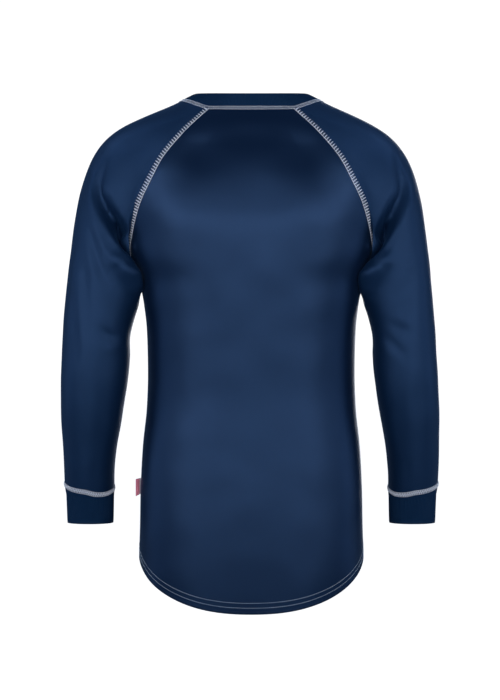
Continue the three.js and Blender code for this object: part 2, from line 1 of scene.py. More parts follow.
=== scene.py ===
# %% [markdown]
# # A long-sleeved thermal top, filled out as it is worn
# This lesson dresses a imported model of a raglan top. The model gives plain solids, and every cell
# below makes one thing that a maker would cut, sew or knit. Lengths in the tables are millimetres,
# as on a paper pattern, and MM turns them into Blender's metres. +X is the wearer's left, -Y the
# front and +Z up. The origin is between the tops of the shoulders.

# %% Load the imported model
import math

import bpy
import numpy as np
from mathutils import Matrix, Vector, noise
from mathutils.bvhtree import BVHTree


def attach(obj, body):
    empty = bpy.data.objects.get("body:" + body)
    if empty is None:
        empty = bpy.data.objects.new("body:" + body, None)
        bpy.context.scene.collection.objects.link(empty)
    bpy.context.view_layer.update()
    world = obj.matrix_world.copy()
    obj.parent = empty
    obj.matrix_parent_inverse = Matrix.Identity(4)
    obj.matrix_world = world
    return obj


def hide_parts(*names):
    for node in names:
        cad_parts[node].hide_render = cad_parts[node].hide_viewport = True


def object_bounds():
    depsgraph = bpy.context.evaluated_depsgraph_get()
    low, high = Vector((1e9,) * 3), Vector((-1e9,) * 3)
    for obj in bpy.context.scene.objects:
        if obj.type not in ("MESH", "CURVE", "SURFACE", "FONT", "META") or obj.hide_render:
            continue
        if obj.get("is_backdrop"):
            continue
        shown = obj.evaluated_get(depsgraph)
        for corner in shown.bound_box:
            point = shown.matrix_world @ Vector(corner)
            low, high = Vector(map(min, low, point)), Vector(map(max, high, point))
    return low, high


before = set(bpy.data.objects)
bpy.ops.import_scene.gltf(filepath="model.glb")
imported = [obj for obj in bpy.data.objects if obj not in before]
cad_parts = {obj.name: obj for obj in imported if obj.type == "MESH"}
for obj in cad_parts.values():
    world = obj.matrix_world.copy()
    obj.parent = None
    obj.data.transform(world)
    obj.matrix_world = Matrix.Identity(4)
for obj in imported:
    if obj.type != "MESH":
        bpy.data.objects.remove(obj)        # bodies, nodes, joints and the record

MM = 0.001
BODY = "root"
cad_low, cad_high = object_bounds()
print("nodes", sorted(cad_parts))

# %% [markdown]
# ## The pattern
# The shapes come from the same short tables as the solids: level sections of the trunk, the two
# raglan seams, the rings of a sleeve and of a cuff. A smooth curve is read through each table, so a
# fine mesh follows the same form as the coarse solid and stays round where that one has facets.

# %% Driving sizes
CLOTH = 1.6          # the brushed knit
RIB_WALL = 2.2       # doubled rib
HEM_DEPTH = 20       # turned up inside
UNDERARM_Z = -252
HEM_SIDE_Z = -722
HEM_DROP = {1: 87, -1: 60}      # 1 is the back, -1 the front
HEM_CURVE = 1.1
SECTION_POWER = 2.3
NECK_Z = {1: -17, -1: -100}
SHOULDER_POINT = np.array([113, 0, -1.5])
BODY_ROWS, SEAM_STEPS, NECK_STEPS = 15, 12, 8       # the solids' steps, which the tables count in
AROUND = 2 * SEAM_STEPS + NECK_STEPS
FINE = 6                        # steps of the fine grid to each step of the solids

# columns: height, half width, back, front, y of the side
BODY_SECTIONS = np.array([
    [10, 104, 62, 40, -2], [-16, 149, 76, 52, -1], [-40, 200, 88, 62, 0], [-62, 229, 96, 72, 0],
    [-100, 239, 107, 87, 0], [-135, 230, 113.5, 99, 0], [-180, 212, 118.5, 111, 0],
    [-215, 200, 119, 116, 0], [-252, 191, 117.5, 117.5, 0], [-285, 177, 115.3, 117, 0],
    [-317, 172.5, 113, 116, 0], [-360, 167.4, 110, 114, -1], [-430, 165.4, 106, 111, -3],
    [-490, 167.2, 104.5, 110, -3], [-545, 173, 105.5, 111, -1], [-610, 176.6, 108.5, 112, 1],
    [-680, 178, 111.5, 112, 2], [-750, 180, 112.5, 110.5, 2], [-820, 180, 111, 109, 2],
])
# columns: height, distance from the middle
RAGLAN = {
    1: np.array([[-252, 191], [-232, 192], [-212, 189.5], [-184, 183], [-159, 174.5], [-134, 162.5],
                 [-102, 146], [-84, 134], [-60, 114], [-40, 94.5], [-16, 68.5]]),
    -1: np.array([[-252, 191], [-236, 189.5], [-215, 183.5], [-190, 172], [-160, 154.5],
                  [-130, 134], [-100, 111], [-78, 93], [-62, 79]]),
}

# %% Reading a table on a smooth curve
def hermite(p, q, leave, arrive, t):
    """The curve from p to q that leaves and arrives in the given directions."""
    return (p * (2 * t**3 - 3 * t**2 + 1) + leave * (t**3 - 2 * t**2 + t)
            + q * (3 * t**2 - 2 * t**3) + arrive * (t**3 - t**2))


def read_at(keys, values, at):
    """values at the keys, read at any place between them."""
    keys, values = np.asarray(keys, float), np.asarray(values, float)
    if keys[1] < keys[0]:
        keys, values = keys[::-1], values[::-1]
    at = np.asarray(at, float)
    i = np.clip(np.searchsorted(keys, at, side="left") - 1, 0, len(keys) - 2)
    before, after = np.maximum(i - 1, 0), np.minimum(i + 2, len(keys) - 1)
    span = keys[i + 1] - keys[i]
    t = np.clip((at - keys[i]) / span, 0, 1)
    leave = (values[i + 1] - values[before]) / (keys[i + 1] - keys[before]) * span
    arrive = (values[after] - values[i]) / (keys[after] - keys[i]) * span
    return hermite(values[i], values[i + 1], leave, arrive, t)


def signed_power(value, power):
    return np.sign(value) * np.abs(value) ** power


def smoothstep(low, high, value):
    t = np.clip((value - low) / (high - low), 0, 1)
    return t * t * (3 - 2 * t)


def eased(before, here, after):
    """One pass of smoothing: a value moves half of the way to the mean of its neighbours."""
    return (before + 2 * here + after) / 4


# %% Points of the trunk
def body_point(face, turn, z):
    """A point at height z. turn is 0 at the middle of the back or front and a quarter turn at the side."""
    heights = BODY_SECTIONS[:, 0]
    half, side = (read_at(heights, BODY_SECTIONS[:, c], z) for c in (1, 4))
    middle = read_at(heights, BODY_SECTIONS[:, 2 if face > 0 else 3], z) * face
    depth = np.maximum(np.cos(turn), 0) ** (2 / SECTION_POWER)
    return np.stack([half * signed_power(np.sin(turn), 2 / SECTION_POWER),
                     side + (middle - side) * depth, z + 0 * turn], axis=-1)


def raglan_at(face, r):
    """The turn and height of the raglan seam, r steps up from the underarm."""
    rows = RAGLAN[face]
    along = np.asarray(r, float) / SEAM_STEPS * (len(rows) - 1)
    z = read_at(np.arange(len(rows)), rows[:, 0], along)
    x = read_at(np.arange(len(rows)), rows[:, 1], along)
    share = np.minimum(x / read_at(BODY_SECTIONS[:, 0], BODY_SECTIONS[:, 1], z), 1)
    turn = np.arcsin(share ** (SECTION_POWER / 2))
    return np.where(np.asarray(r) <= 0, math.pi / 2, turn), z


def body_grid(face, j, t):
    """A point j rows up from the hem and t across, from -1 at the right side to 1 at the left."""
    j, t = np.broadcast_arrays(np.asarray(j, float), np.asarray(t, float))
    low_turn = t * math.pi / 2
    hem_z = HEM_SIDE_Z - HEM_DROP[face] * np.maximum(np.cos(low_turn), 0) ** HEM_CURVE
    above = HEM_DEPTH + (UNDERARM_Z - hem_z - HEM_DEPTH) * (j - 1) / (BODY_ROWS - 1)
    low = body_point(face, low_turn, hem_z + np.where(j < 1, HEM_DEPTH * j, above))
    r = np.maximum(j - BODY_ROWS, 0)
    turn, z = raglan_at(face, r)
    corner_z = float(raglan_at(face, SEAM_STEPS)[1])
    dip = (NECK_Z[face] - corner_z) * (r / SEAM_STEPS) ** 2 * (1 - t * t)
    high = body_point(face, t * turn, z + dip)
    return np.where((j <= BODY_ROWS)[..., None], low, high)


# %% The neck seam and the sleeve's seam
def neck_over_sleeve(s):
    """The neck seam over the left sleeve, s steps from the back panel's corner to the front's."""
    back, front = (body_grid(face, BODY_ROWS + SEAM_STEPS, 1) for face in (1, -1))
    outward, across, inward = (np.array(v, float) for v in ((62, -26, 20), (0, -100, -20), (-34, -50, -66)))
    t = np.asarray(s, float)[..., None] / (NECK_STEPS / 2)
    first = hermite(back, SHOULDER_POINT, outward, across, np.minimum(t, 1))
    second = hermite(SHOULDER_POINT, front, across, inward, np.maximum(t - 1, 0))
    return np.where(t <= 1, first, second)


def sleeve_seam(k):
    """The left sleeve's seam, k steps round from the underarm by the back."""
    k = np.asarray(k, float)
    back = body_grid(1, BODY_ROWS + np.clip(k, 0, SEAM_STEPS), 1)
    over = neck_over_sleeve(np.clip(k - SEAM_STEPS, 0, NECK_STEPS))
    front = body_grid(-1, BODY_ROWS + np.clip(AROUND - k, 0, SEAM_STEPS), 1)
    k = k[..., None]
    return np.where(k <= SEAM_STEPS, back, np.where(k < SEAM_STEPS + NECK_STEPS, over, front))


# %% [markdown]
# ## Sleeves
# A sleeve is a tube on tilted rings. Each ring has its middle, its half sizes, a roll that lifts the
# outer side and a pitch that drops the back. Lines run from the armhole seam through all the rings,
# so that the cloth flows off the shoulder the way a cut sleeve does.

# %% Rings and lines of a sleeve
# columns: x, y, z, half width, half depth, roll, pitch, power, rows, extra on the left sleeve
SLEEVE_RINGS = [
    (208, 2, -167, 105, 64, 78, 0, 2.15, 6, 5), (231.6, 3, -285, 62.7, 59, 33, 0, 2.2, 6, 6.2),
    (237.5, 4, -322, 55.6, 57, 23, 0, 2.2, 2, 7), (242.9, 5, -362, 51.3, 55.5, 14, 0, 2.15, 2, 7.6),
    (244.7, 5, -402, 51.2, 54.5, 6, 2, 2.1, 2, 7), (248.7, 3, -450, 50.4, 53, 2, 5, 2.1, 2, 5.6),
    (253.5, -3, -500, 47.7, 50, 0, 8, 2.1, 2, 3.2), (258, -12, -550, 43.2, 45.5, 0, 11, 2.1, 2, 1),
    (260.3, -20, -592, 40.5, 42, 2, 13, 2.1, 2, 0), (260.1, -25, -617, 40, 39.6, 4, 15, 2.1, 1, 0),
]
CUFF_RINGS = [
    (259.5, -27.5, -630, 38.2, 38.6, 3, 12, 2.1), (259.4, -31, -652, 37.6, 37.8, 1, 6, 2.1),
    (259.4, -34, -675, 37, 37.2, 0, 1, 2.1),
]
# columns: step, direction x, y, z, reach
SLEEVE_START = np.array([
    [0, 0.75, 0, -0.66, 20], [2, 0.82, 0.05, -0.57, 34], [5, 0.88, -0.25, -0.4, 60],
    [8, 0.88, -0.12, -0.49, 90], [12, 0.89, 0, -0.49, 105], [16, 0.89, 0, -0.5, 105],
    [20, 0.88, -0.03, -0.51, 100], [24, 0.86, 0.1, -0.5, 90], [27, 0.88, 0.25, -0.4, 60],
    [30, 0.82, -0.05, -0.57, 34], [32, 0.75, 0, -0.66, 20],
])


def ring_points(ring, k, more=0):
    """Points round a tilted ring, from its inner side by the back. more widens its outer side."""
    x, y, z, half, deep, roll, pitch, power = ring[:8]
    angle = np.asarray(k, float) / AROUND * 2 * math.pi
    out = -(half + more / 2) * signed_power(np.cos(angle), 2 / power)
    back = deep * signed_power(np.sin(angle), 2 / power)
    p, r = -math.radians(pitch), -math.radians(roll)
    y1, z1 = back * math.cos(p), back * math.sin(p)
    return np.stack([x + more / 2 + out * math.cos(r) + z1 * math.sin(r), y + y1,
                     z - out * math.sin(r) + z1 * math.cos(r)], axis=-1)


def length_of(vectors):
    return np.linalg.norm(vectors, axis=-1, keepdims=True)


def lengths_along(line):
    """How far each point lies along a line of points."""
    return np.concatenate([[0], np.cumsum(length_of(np.diff(line, axis=0))[:, 0])])


def points_at(line, along, at):
    return np.stack([np.interp(at, along, line[:, c]) for c in range(3)], axis=-1)


def flow(before, here, after):
    """The direction of a smooth line at the middle one of three stations."""
    d0, d1 = length_of(here - before), length_of(after - here)
    return ((here - before) * d1 / d0 + (after - here) * d0 / d1) / (d0 + d1)


def sleeve_lines(k, side, per_row):
    """The sleeve's grid on the wearer's left: a row of points for each place down the sleeve."""
    k = np.asarray(k, float)
    stations = [sleeve_seam(np.mod(k, AROUND))]
    stations += [ring_points(ring, k, ring[9] if side > 0 else 0) for ring in SLEEVE_RINGS]
    start = np.stack([read_at(SLEEVE_START[:, 0], SLEEVE_START[:, c], k) for c in (1, 2, 3)], axis=-1)
    ways = [start / length_of(start)]
    ways += [flow(*stations[i - 1:i + 2]) for i in range(1, len(stations) - 1)]
    ways.append((stations[-1] - stations[-2]) / length_of(stations[-1] - stations[-2]))
    reach = read_at(SLEEVE_START[:, 0], SLEEVE_START[:, 4], k)[..., None]
    rows = [stations[0]]
    for i, ring in enumerate(SLEEVE_RINGS):
        p, q = stations[i], stations[i + 1]
        span = length_of(q - p)
        steps = ring[8] * per_row
        leave = ways[i] * (reach if i == 0 else span)
        rows += [hermite(p, q, leave, ways[i + 1] * span, s / steps) for s in range(1, steps + 1)]
    return np.array(rows)


# %% [markdown]
# ## Folds
# Worn cloth is pulled from a few places: the armpit, the bend of the elbow, the seat of the cuff.
# A fold is a soft trough along a bent line from a over b to c. Real troughs have a lip beside them
# where the cloth that they swallow comes up again, so each may carry one on either side. Cloth
# simulation would fold the sleeve somewhere else on every change, so the folds are listed one by one.

# %% Fold tables
# columns: face, ax, az, bx, bz, cx, cz, width, depth, lip. The first rows are the solids' own folds.
ARMPIT_FOLDS = [
    (1, 208, -256, 176, -290, 174, -308, 14, -21, 0), (1, 238, -80, 264, -160, 190, -262, 8, 3, 0),
    (1, 248, -120, 270, -190, 200, -275, 9, -2.5, 0), (1, 215, -190, 209, -212, 199, -238, 5, 11, 0),
    (1, 228, -158, 224, -175, 210, -200, 7, 2.5, 0), (-1, 232, -92, 262, -165, 192, -262, 9, 5, 0.3),
    (-1, 244, -130, 266, -195, 204, -276, 10, -3, 0),
]
LEFT_FOLDS = ARMPIT_FOLDS + [
    (1, 254, -212, 244, -262, 226, -292, 7, 3, 0.3), (1, 266, -255, 262, -310, 258, -375, 9, 3.2, 0.2),
    (1, 283, -300, 280, -350, 276, -410, 8, 2.6, 0.2), (1, 236, -364, 226, -374, 212, -384, 7, 2.2, -0.3),
    (1, 232, -398, 214, -392, 198, -378, 8, -1.6, 0), (-1, 252, -380, 226, -404, 200, -400, 9, 3.4, 0.4),
    (-1, 262, -250, 258, -300, 250, -352, 9, 2.8, 0.3), (-1, 250, -432, 228, -446, 206, -436, 9, 2.8, 0.4),
]
RIGHT_FOLDS = ARMPIT_FOLDS + [
    (1, 262, -256, 250, -264, 238, -272, 6, 2.4, 0.3), (1, 256, -286, 246, -300, 228, -310, 8, 1.4, 0.2),
    (1, 256, -316, 244, -332, 228, -338, 8, 1.4, 0.2), (1, 252, -370, 238, -368, 220, -354, 8, 1.8, -0.2),
    (1, 244, -408, 230, -396, 214, -378, 7, 2.0, 0.2), (-1, 256, -366, 230, -384, 200, -376, 9, 3.6, 0.4),
    (-1, 260, -282, 244, -300, 214, -312, 9, 2.8, 0.3), (-1, 252, -424, 230, -438, 206, -430, 9, 2.8, 0.4),
]
# Finer creases that only show close to: the armpit, the elbow and above the cuff.
SMALL_FOLDS = [
    (1, 184, -276, 171, -294, 173, -306, 9, -9, 0),
    (1, 286, -172, 290, -220, 284, -262, 11, 1.3, 0), (1, 300, -262, 297, -330, 292, -392, 12, 1.0, 0),
    (1, 268, -440, 262, -486, 266, -540, 10, 1.0, 0), (1, 240, -470, 232, -500, 238, -548, 9, 0.9, 0),
    (1, 282, -560, 278, -588, 272, -612, 6, 0.8, 0.3), (1, 246, -572, 250, -594, 246, -613, 5, 0.8, 0.3),
    (-1, 230, -150, 226, -190, 204, -226, 6, 1.8, 0.4), (-1, 282, -180, 286, -236, 278, -290, 12, 1.3, 0),
    (-1, 270, -336, 246, -352, 220, -346, 6, 1.6, 0.4), (-1, 272, -400, 240, -424, 214, -418, 6, 1.8, -0.4),
    (-1, 268, -470, 262, -520, 266, -566, 10, 1.0, 0), (-1, 244, -500, 238, -540, 244, -580, 9, 0.9, 0),
    (-1, 276, -570, 272, -594, 264, -613, 5, 0.8, 0.3),
]
# A drape is a fold that hangs over: a sunken side, a face that comes up to the viewer and a lip
# that catches the light. The line is stops of (x, z, strength, width of the face).
# columns: the line, width of the sunken side and of the lip, depth, lip
LEFT_DRAPES = [
    ([(236, -91, 0.1, 6), (251, -142, 0.4, 7), (241, -177, 0.75, 10), (222, -213, 1, 15), (202, -237, 1, 9),
      (186, -264, 0.9, 6)], 8, 9, 21, 3.6),
    ([(262, -150, 0.2, 6), (250, -190, 0.8, 6), (236, -222, 1, 6), (222, -250, 0.4, 6)], 8, 6, 1.6, 0.6),
    ([(232, -152, 0.2, 5), (226, -176, 0.8, 5), (217, -192, 0.4, 4)], 6, 5, 1.8, 0.5),
]
RIGHT_DRAPES = [
    ([(235, -90, 0.1, 6), (248, -142, 0.4, 7), (238, -177, 0.75, 10), (221, -213, 1, 14), (203, -238, 1, 9),
      (187, -264, 0.9, 6)], 8, 9, 21, 3.6),
    ([(266, -170, 0.2, 6), (254, -206, 0.8, 6), (240, -236, 0.8, 6), (224, -260, 0.3, 6)], 8, 6, 1.5, 0.6),
    ([(230, -158, 0.2, 5), (222, -178, 0.8, 5), (214, -190, 0.4, 4)], 6, 5, 1.6, 0.5),
]
# columns: middle x (mirrored), y and z, reach in x, y and z, shift in x and in y
ARMPIT_PUSHES = [(190, 36, -236, 9, 22, 15, 0, 10)]
LEFT_PUSHES = [(179, 0, -298, 10, 60, 12, -6.4, 0)]
RIGHT_PUSHES = [(179, 0, -304, 9, 60, 8, -4, 0)]
TRUNK_PUSHES = [(172, 0, -301, 8, 60, 10, 1.5, 0)]
# columns: middle x (mirrored), z, half size across and along, depth
BODY_FORMS = {
    1: [(98, -80, 30, 36, 3.5), (0, -54, 100, 24, 2.5), (84, -86, 38, 34, 3), (96, -186, 52, 62, -2.5),
        (0, -300, 26, 190, 2), (128, -440, 26, 120, 1.6)],
    -1: [(84, -190, 56, 46, -3), (0, -200, 24, 60, 2), (130, -430, 28, 110, 1.6)],
}


# %% Pressing folds into a grid of points
FOLD_POINTS, DRAPE_POINTS = 33, 61      # points along the line of a fold and of a drape
RIDGE_AWAY = 1.7                        # from a trough to its lip, in widths of the trough
DRAPE_END = 7                           # how softly a drape begins and ends
DEPTH_PASSES = 2                        # of smoothing


def grid_normals(grid, closed, outward):
    """Outward normals of a grid of points. A closed grid's last column is its first one again."""
    if closed:
        ring = np.concatenate([grid[:, -2:-1], grid, grid[:, 1:2]], axis=1)
        across = ring[:, 2:] - ring[:, :-2]
    else:
        across = np.gradient(grid, axis=1)
    normals = np.cross(across, np.gradient(grid, axis=0)) * outward
    return normals / np.maximum(length_of(normals), 1e-9)


def beside_line(line, points, side):
    """How far each point is to the left of a line that is seen from the front or back, and where."""
    place = np.stack([points[..., 0] * side, points[..., 2]], axis=-1)
    away = place[..., None, :] - line
    nearest = np.hypot(away[..., 0], away[..., 1]).argmin(axis=-1)
    way = np.gradient(line, axis=0)[nearest]
    off = np.take_along_axis(away, nearest[..., None, None], axis=-2)[..., 0, :]
    turn = np.sign(way[..., 0] * off[..., 1] - way[..., 1] * off[..., 0])
    return turn * np.hypot(off[..., 0], off[..., 1]), nearest


def facing(face, points, normals):
    """1 on the back (face 1) or the front (face -1) of a sleeve, fading to 0 towards its sides."""
    return smoothstep(0.05, 0.45, normals[..., 1] * face) * smoothstep(5, 25, points[..., 1] * face)


def fold_depth(fold, points, normals, side):
    """How far a soft fold presses each point in."""
    face, ax, az, bx, bz, cx, cz, width, depth, lip = fold
    t = np.linspace(0, 1, FOLD_POINTS)
    line = np.stack([(1 - t) ** 2 * ax + 2 * t * (1 - t) * bx + t * t * cx,
                     (1 - t) ** 2 * az + 2 * t * (1 - t) * bz + t * t * cz], axis=-1)
    beside, nearest = beside_line(line, points, side)
    taper = np.sin(math.pi * np.clip(t[nearest], 0.06, 0.94)) ** 0.5
    trough = np.exp(-((beside / width) ** 2))
    ridge = abs(lip) * np.exp(-(((beside - math.copysign(RIDGE_AWAY * width, lip)) / width) ** 2))
    return depth * facing(face, points, normals) * taper * (trough - ridge)


def drape_depth(drape, points, normals, side):
    """How far a fold that hangs over presses each point in. Its lip is on the outer side."""
    stops, inner, outer, depth, lip = drape
    stops = np.array(stops, float)
    along = np.linspace(0, len(stops) - 1, DRAPE_POINTS)
    line = np.stack([read_at(np.arange(len(stops)), stops[:, c], along) for c in (0, 1)], axis=-1)
    strength, face_width = (np.interp(along, np.arange(len(stops)), stops[:, c]) for c in (2, 3))
    beside, nearest = beside_line(line, points, side)
    ramp = np.clip(-beside / face_width[nearest], 0, 1)
    behind = np.minimum(beside + face_width[nearest], 0)
    sunken = depth * ramp * (1.4 - 0.4 * ramp) * np.exp(-((behind / inner) ** 2))
    raised = lip * np.where(beside > 0, np.exp(-((beside / outer) ** 2)), 1 - smoothstep(0, 1, ramp * 2))
    away = np.linalg.norm(np.stack([points[..., 0] * side, points[..., 2]], axis=-1) - line[nearest], axis=-1)
    past = np.where((nearest == 0) | (nearest == len(line) - 1), np.exp(-((away / DRAPE_END) ** 2)), 1)
    return (sunken - raised) * strength[nearest] * past * facing(1, points, normals)


def fold_sleeve(grid, folds, drapes, side, per_row):
    """Presses all the folds in at once. The rows next to the two seams stay as they are."""
    normals = grid_normals(grid, True, side)
    rows = np.arange(len(grid))
    calm = np.clip(np.minimum(rows, rows[::-1]) / (2 * per_row), 0, 1)[:, None]
    depth = sum(fold_depth(fold, grid, normals, side) for fold in folds)
    depth += sum(drape_depth(drape, grid, normals, side) for drape in drapes)
    for _ in range(DEPTH_PASSES):
        around = depth[:, :-1]
        depth[:, :-1] = eased(np.roll(around, 1, axis=1), around, np.roll(around, -1, axis=1))
        depth[:, -1] = depth[:, 0]
        depth[1:-1] = eased(depth[:-2], depth[1:-1], depth[2:])
    return grid - normals * (depth * calm)[..., None]


def push(points, pushes):
    """Shifts the cloth around a few places. Cloth and seams that meet there move together."""
    points = points.copy()
    for x, y, z, reach_x, reach_y, reach_z, dx, dy in pushes:
        near = np.exp(-(((np.abs(points[..., 0]) - x) / reach_x) ** 2) - ((points[..., 1] - y) / reach_y) ** 2
                      - ((points[..., 2] - z) / reach_z) ** 2)
        points[..., 0] += dx * near * np.sign(points[..., 0])
        points[..., 1] += dy * near
    return points


def shape_body(grid, face):
    """The broad soft hollows and swells of the back and the front."""
    normals = grid_normals(grid, False, -face)
    rows, columns = np.arange(len(grid)), np.arange(grid.shape[1])
    edge = np.minimum(columns, columns[::-1]) / (columns[-1] / 2)
    calm = np.minimum(edge * 2, 1) * np.clip((rows[::-1] / FINE) / 3, 0, 1)[:, None]
    for x, z, across, along, depth in BODY_FORMS[face]:
        u, v = (np.abs(grid[..., 0]) - x) / across, (grid[..., 2] - z) / along
        grid = grid - normals * (depth * calm * np.exp(-u * u - v * v))[..., None]
    return grid


# %% [markdown]
# ## Cloth pieces
# Each cut piece starts as Blender's own grid, which brings a UV map. Its vertices are moved to the
# pattern's points, and the UV map is laid out in metres of cloth, so that the knit has one size all
# over the garment. Solidify then gives the wall, and a small bevel rounds the cut edges.

# %% From a grid of points to a piece of cloth
SEAM_DRAW = 0.15     # each piece draws back this much from its seam line


def only(piece):
    """Selects one object and nothing else."""
    bpy.ops.object.select_all(action="DESELECT")
    piece.select_set(True)
    bpy.context.view_layer.objects.active = piece


def draw_back(grid, closed, free):
    """Moves the seam edges of a grid a little into the piece. free is the open edge's row, or None."""
    grid = grid.copy()
    edges = [] if free == 0 else [(np.s_[0], np.s_[1])]
    edges += [] if free == -1 else [(np.s_[-1], np.s_[-2])]
    edges += [] if closed else [(np.s_[:, 0], np.s_[:, 1]), (np.s_[:, -1], np.s_[:, -2])]
    for edge, inside in edges:
        step = grid[inside] - grid[edge]
        grid[edge] += step / np.maximum(length_of(step), 1e-6) * SEAM_DRAW
    return grid


def cloth_lengths(grid, middle):
    """How far each point lies along its row, in millimetres, from the column named middle."""
    along = np.array([lengths_along(row) for row in grid])
    return along - along[:, middle:middle + 1]


def on_all(piece, operator, **settings):
    """Runs a mesh operator on all of one object."""
    only(piece)
    bpy.ops.object.mode_set(mode="EDIT")
    bpy.ops.mesh.select_all(action="SELECT")
    operator(**settings)
    bpy.ops.object.mode_set(mode="OBJECT")


def new_grid(name, columns, rows):
    """Blender's grid, and how far each of its vertices lies across and up, from 0 to 1."""
    bpy.ops.mesh.primitive_grid_add(x_subdivisions=columns, y_subdivisions=rows, size=1)
    piece = bpy.context.object
    piece.name = piece.data.name = name
    places = np.empty(len(piece.data.vertices) * 3)
    piece.data.vertices.foreach_get("co", places)
    across, up = places.reshape(-1, 3)[:, :2].T + 0.5
    return piece, across, up


def lay_out(piece, points, along_u, along_v):
    """Moves the vertices to their points and lays the UV map out, both in millimetres."""
    mesh = piece.data
    mesh.vertices.foreach_set("co", (points * MM).ravel())
    vertex = np.empty(len(mesh.loops), int)
    mesh.loops.foreach_get("vertex_index", vertex)
    layer = mesh.uv_layers.active
    layer.name = "cloth"
    layer.uv.foreach_set("vector", (np.stack([along_u, along_v], axis=-1)[vertex] * MM).ravel())


def cloth_piece(name, grid, closed, outward, along_u, along_v, wall):
    """Makes a piece of cloth of a grid of points in millimetres."""
    rows, columns = grid.shape[0] - 1, grid.shape[1] - 1
    piece, across, up = new_grid(name, columns, rows)
    i, j = np.rint(across * columns).astype(int), np.rint(up * rows).astype(int)
    lay_out(piece, grid[j, i], along_u[j, i], along_v[j, i])
    if outward < 0:
        piece.data.flip_normals()
    if closed:
        on_all(piece, bpy.ops.mesh.remove_doubles, threshold=1e-6)
    piece.data.update()
    add_wall(piece, wall)
    return piece


def add_wall(piece, wall):
    only(piece)
    solid = piece.modifiers.new("wall", "SOLIDIFY")
    solid.thickness = wall * MM
    solid.offset = -1
    bpy.ops.object.modifier_apply(modifier=solid.name)
    bevel = piece.modifiers.new("rounded_edges", "BEVEL")
    bevel.limit_method = "ANGLE"
    bevel.angle_limit = math.radians(60)
    bevel.width = 0.3 * wall * MM
    bevel.segments = 2
    bpy.ops.object.modifier_apply(modifier=bevel.name)
    bpy.ops.object.shade_smooth_by_angle(angle=math.radians(50))


def undulate(grid, normals, amount, size):
    """Cloth is never quite even: a slow, seeded waver along the normals."""
    flat = (grid / size).reshape(-1, 3)
    waver = np.array([noise.noise(Vector(p)) for p in flat]).reshape(grid.shape[:2])
    return grid + normals * (amount * waver)[..., None]


def tell_cloth(name, piece, width, length):
    area = sum(p.area for p in piece.data.polygons) / 2
    print(name, "width", round(width * MM, 3), "length", round(length * MM, 3), "area", round(area, 4))


# %% The back and the front
TRUNK_WAVER = (0.9, 55)         # how far the cloth wavers, and over what length
SLEEVE_WAVER = (0.8, 45)


def make_panel(name, face, columns):
    rows = (BODY_ROWS + SEAM_STEPS) * FINE
    j = np.arange(rows + 1)[:, None] / FINE
    t = np.linspace(-1, 1, columns + 1)[None, :]
    grid = shape_body(body_grid(face, j, t), face)
    calm = np.clip(np.minimum(rows - j * FINE, 12) / 12, 0, 1) * np.clip((1 - np.abs(t)) * 6, 0, 1)
    waver = undulate(grid, grid_normals(grid, False, -face), *TRUNK_WAVER)
    grid = push(grid + (waver - grid) * calm[..., None], ARMPIT_PUSHES + TRUNK_PUSHES)
    grid = draw_back(grid, False, 0)
    u = cloth_lengths(grid, columns // 2)
    piece = cloth_piece(name, grid, False, -face, u, grid[..., 2], CLOTH)
    tell_cloth(name, piece, np.ptp(u), np.ptp(grid[..., 2]))
    return piece, grid


back, back_grid = make_panel("back_panel", 1, 120)
front, front_grid = make_panel("front_panel", -1, 96)


# %% The sleeves
def make_sleeve(name, side, folds, drapes):
    columns = AROUND * FINE
    k = np.arange(columns + 1) / FINE
    per_row = FINE - 1
    grid = sleeve_lines(k, side, per_row)
    grid[..., 0] *= side
    grid = fold_sleeve(grid, folds, drapes, side, per_row)
    rows = np.arange(len(grid))
    calm = np.clip(np.minimum(rows, rows[::-1]) / 8, 0, 1)[:, None, None]
    grid = grid + (undulate(grid, grid_normals(grid, True, side), *SLEEVE_WAVER) - grid) * calm
    grid = push(grid, ARMPIT_PUSHES + (LEFT_PUSHES if side > 0 else RIGHT_PUSHES))
    grid = draw_back(grid, True, None)
    top = columns // 2
    v = np.broadcast_to(-lengths_along(grid[:, top])[:, None], grid.shape[:2])
    u = cloth_lengths(grid, top)
    piece = cloth_piece(name, grid, True, side, u, v, CLOTH)
    tell_cloth(name, piece, np.ptp(u, axis=1).max(), -v.min())
    return piece, grid


sleeve_left, left_grid = make_sleeve("sleeve_left_cloth", 1, LEFT_FOLDS + SMALL_FOLDS, LEFT_DRAPES)
sleeve_right, right_grid = make_sleeve("sleeve_right_cloth", -1, RIGHT_FOLDS + SMALL_FOLDS, RIGHT_DRAPES)

# %% [markdown]
# ## Ribbed neckband and cuffs
# The band and the cuffs are knitted one stitch up, one stitch down, so their face is a row of fine
# upright ribs. The ribs are real here: each takes four columns of the grid, and the outer points
# move in and out by a fraction of a millimetre. A doubled rib turns over at its free edge.

# %% Ribs on a closed band
RIB_PITCH = 2.4
RIB_DEPTH = 0.28
RIB_COLUMNS = 4
NECK_RIB_ROWS, CUFF_RIB_ROWS = 12, 18
BAND_HEIGHT, CUFF_HEIGHT = 26, 62       # along the cloth


def evenly(points, count):
    """count points spaced evenly along a closed line, with the first one again at the end."""
    loop = np.concatenate([points, points[:1]])
    along = lengths_along(loop)
    return points_at(loop, along, np.linspace(0, along[-1], count + 1))


def closed_length(points):
    return float(lengths_along(np.concatenate([points, points[:1]]))[-1])


def rib(grid, outward):
    """Raises every other stitch. The two ends of the band stay smooth, where it is sewn or folded."""
    columns = grid.shape[1] - 1
    wave = np.cos(np.arange(columns + 1) * 2 * math.pi / RIB_COLUMNS)
    share = np.linspace(0, 1, len(grid))[:, None]
    calm = np.clip(np.minimum(share * 8, (1 - share) * 14), 0, 1)
    return grid + grid_normals(grid, True, outward) * (RIB_DEPTH * wave[None, :] * calm)[..., None]


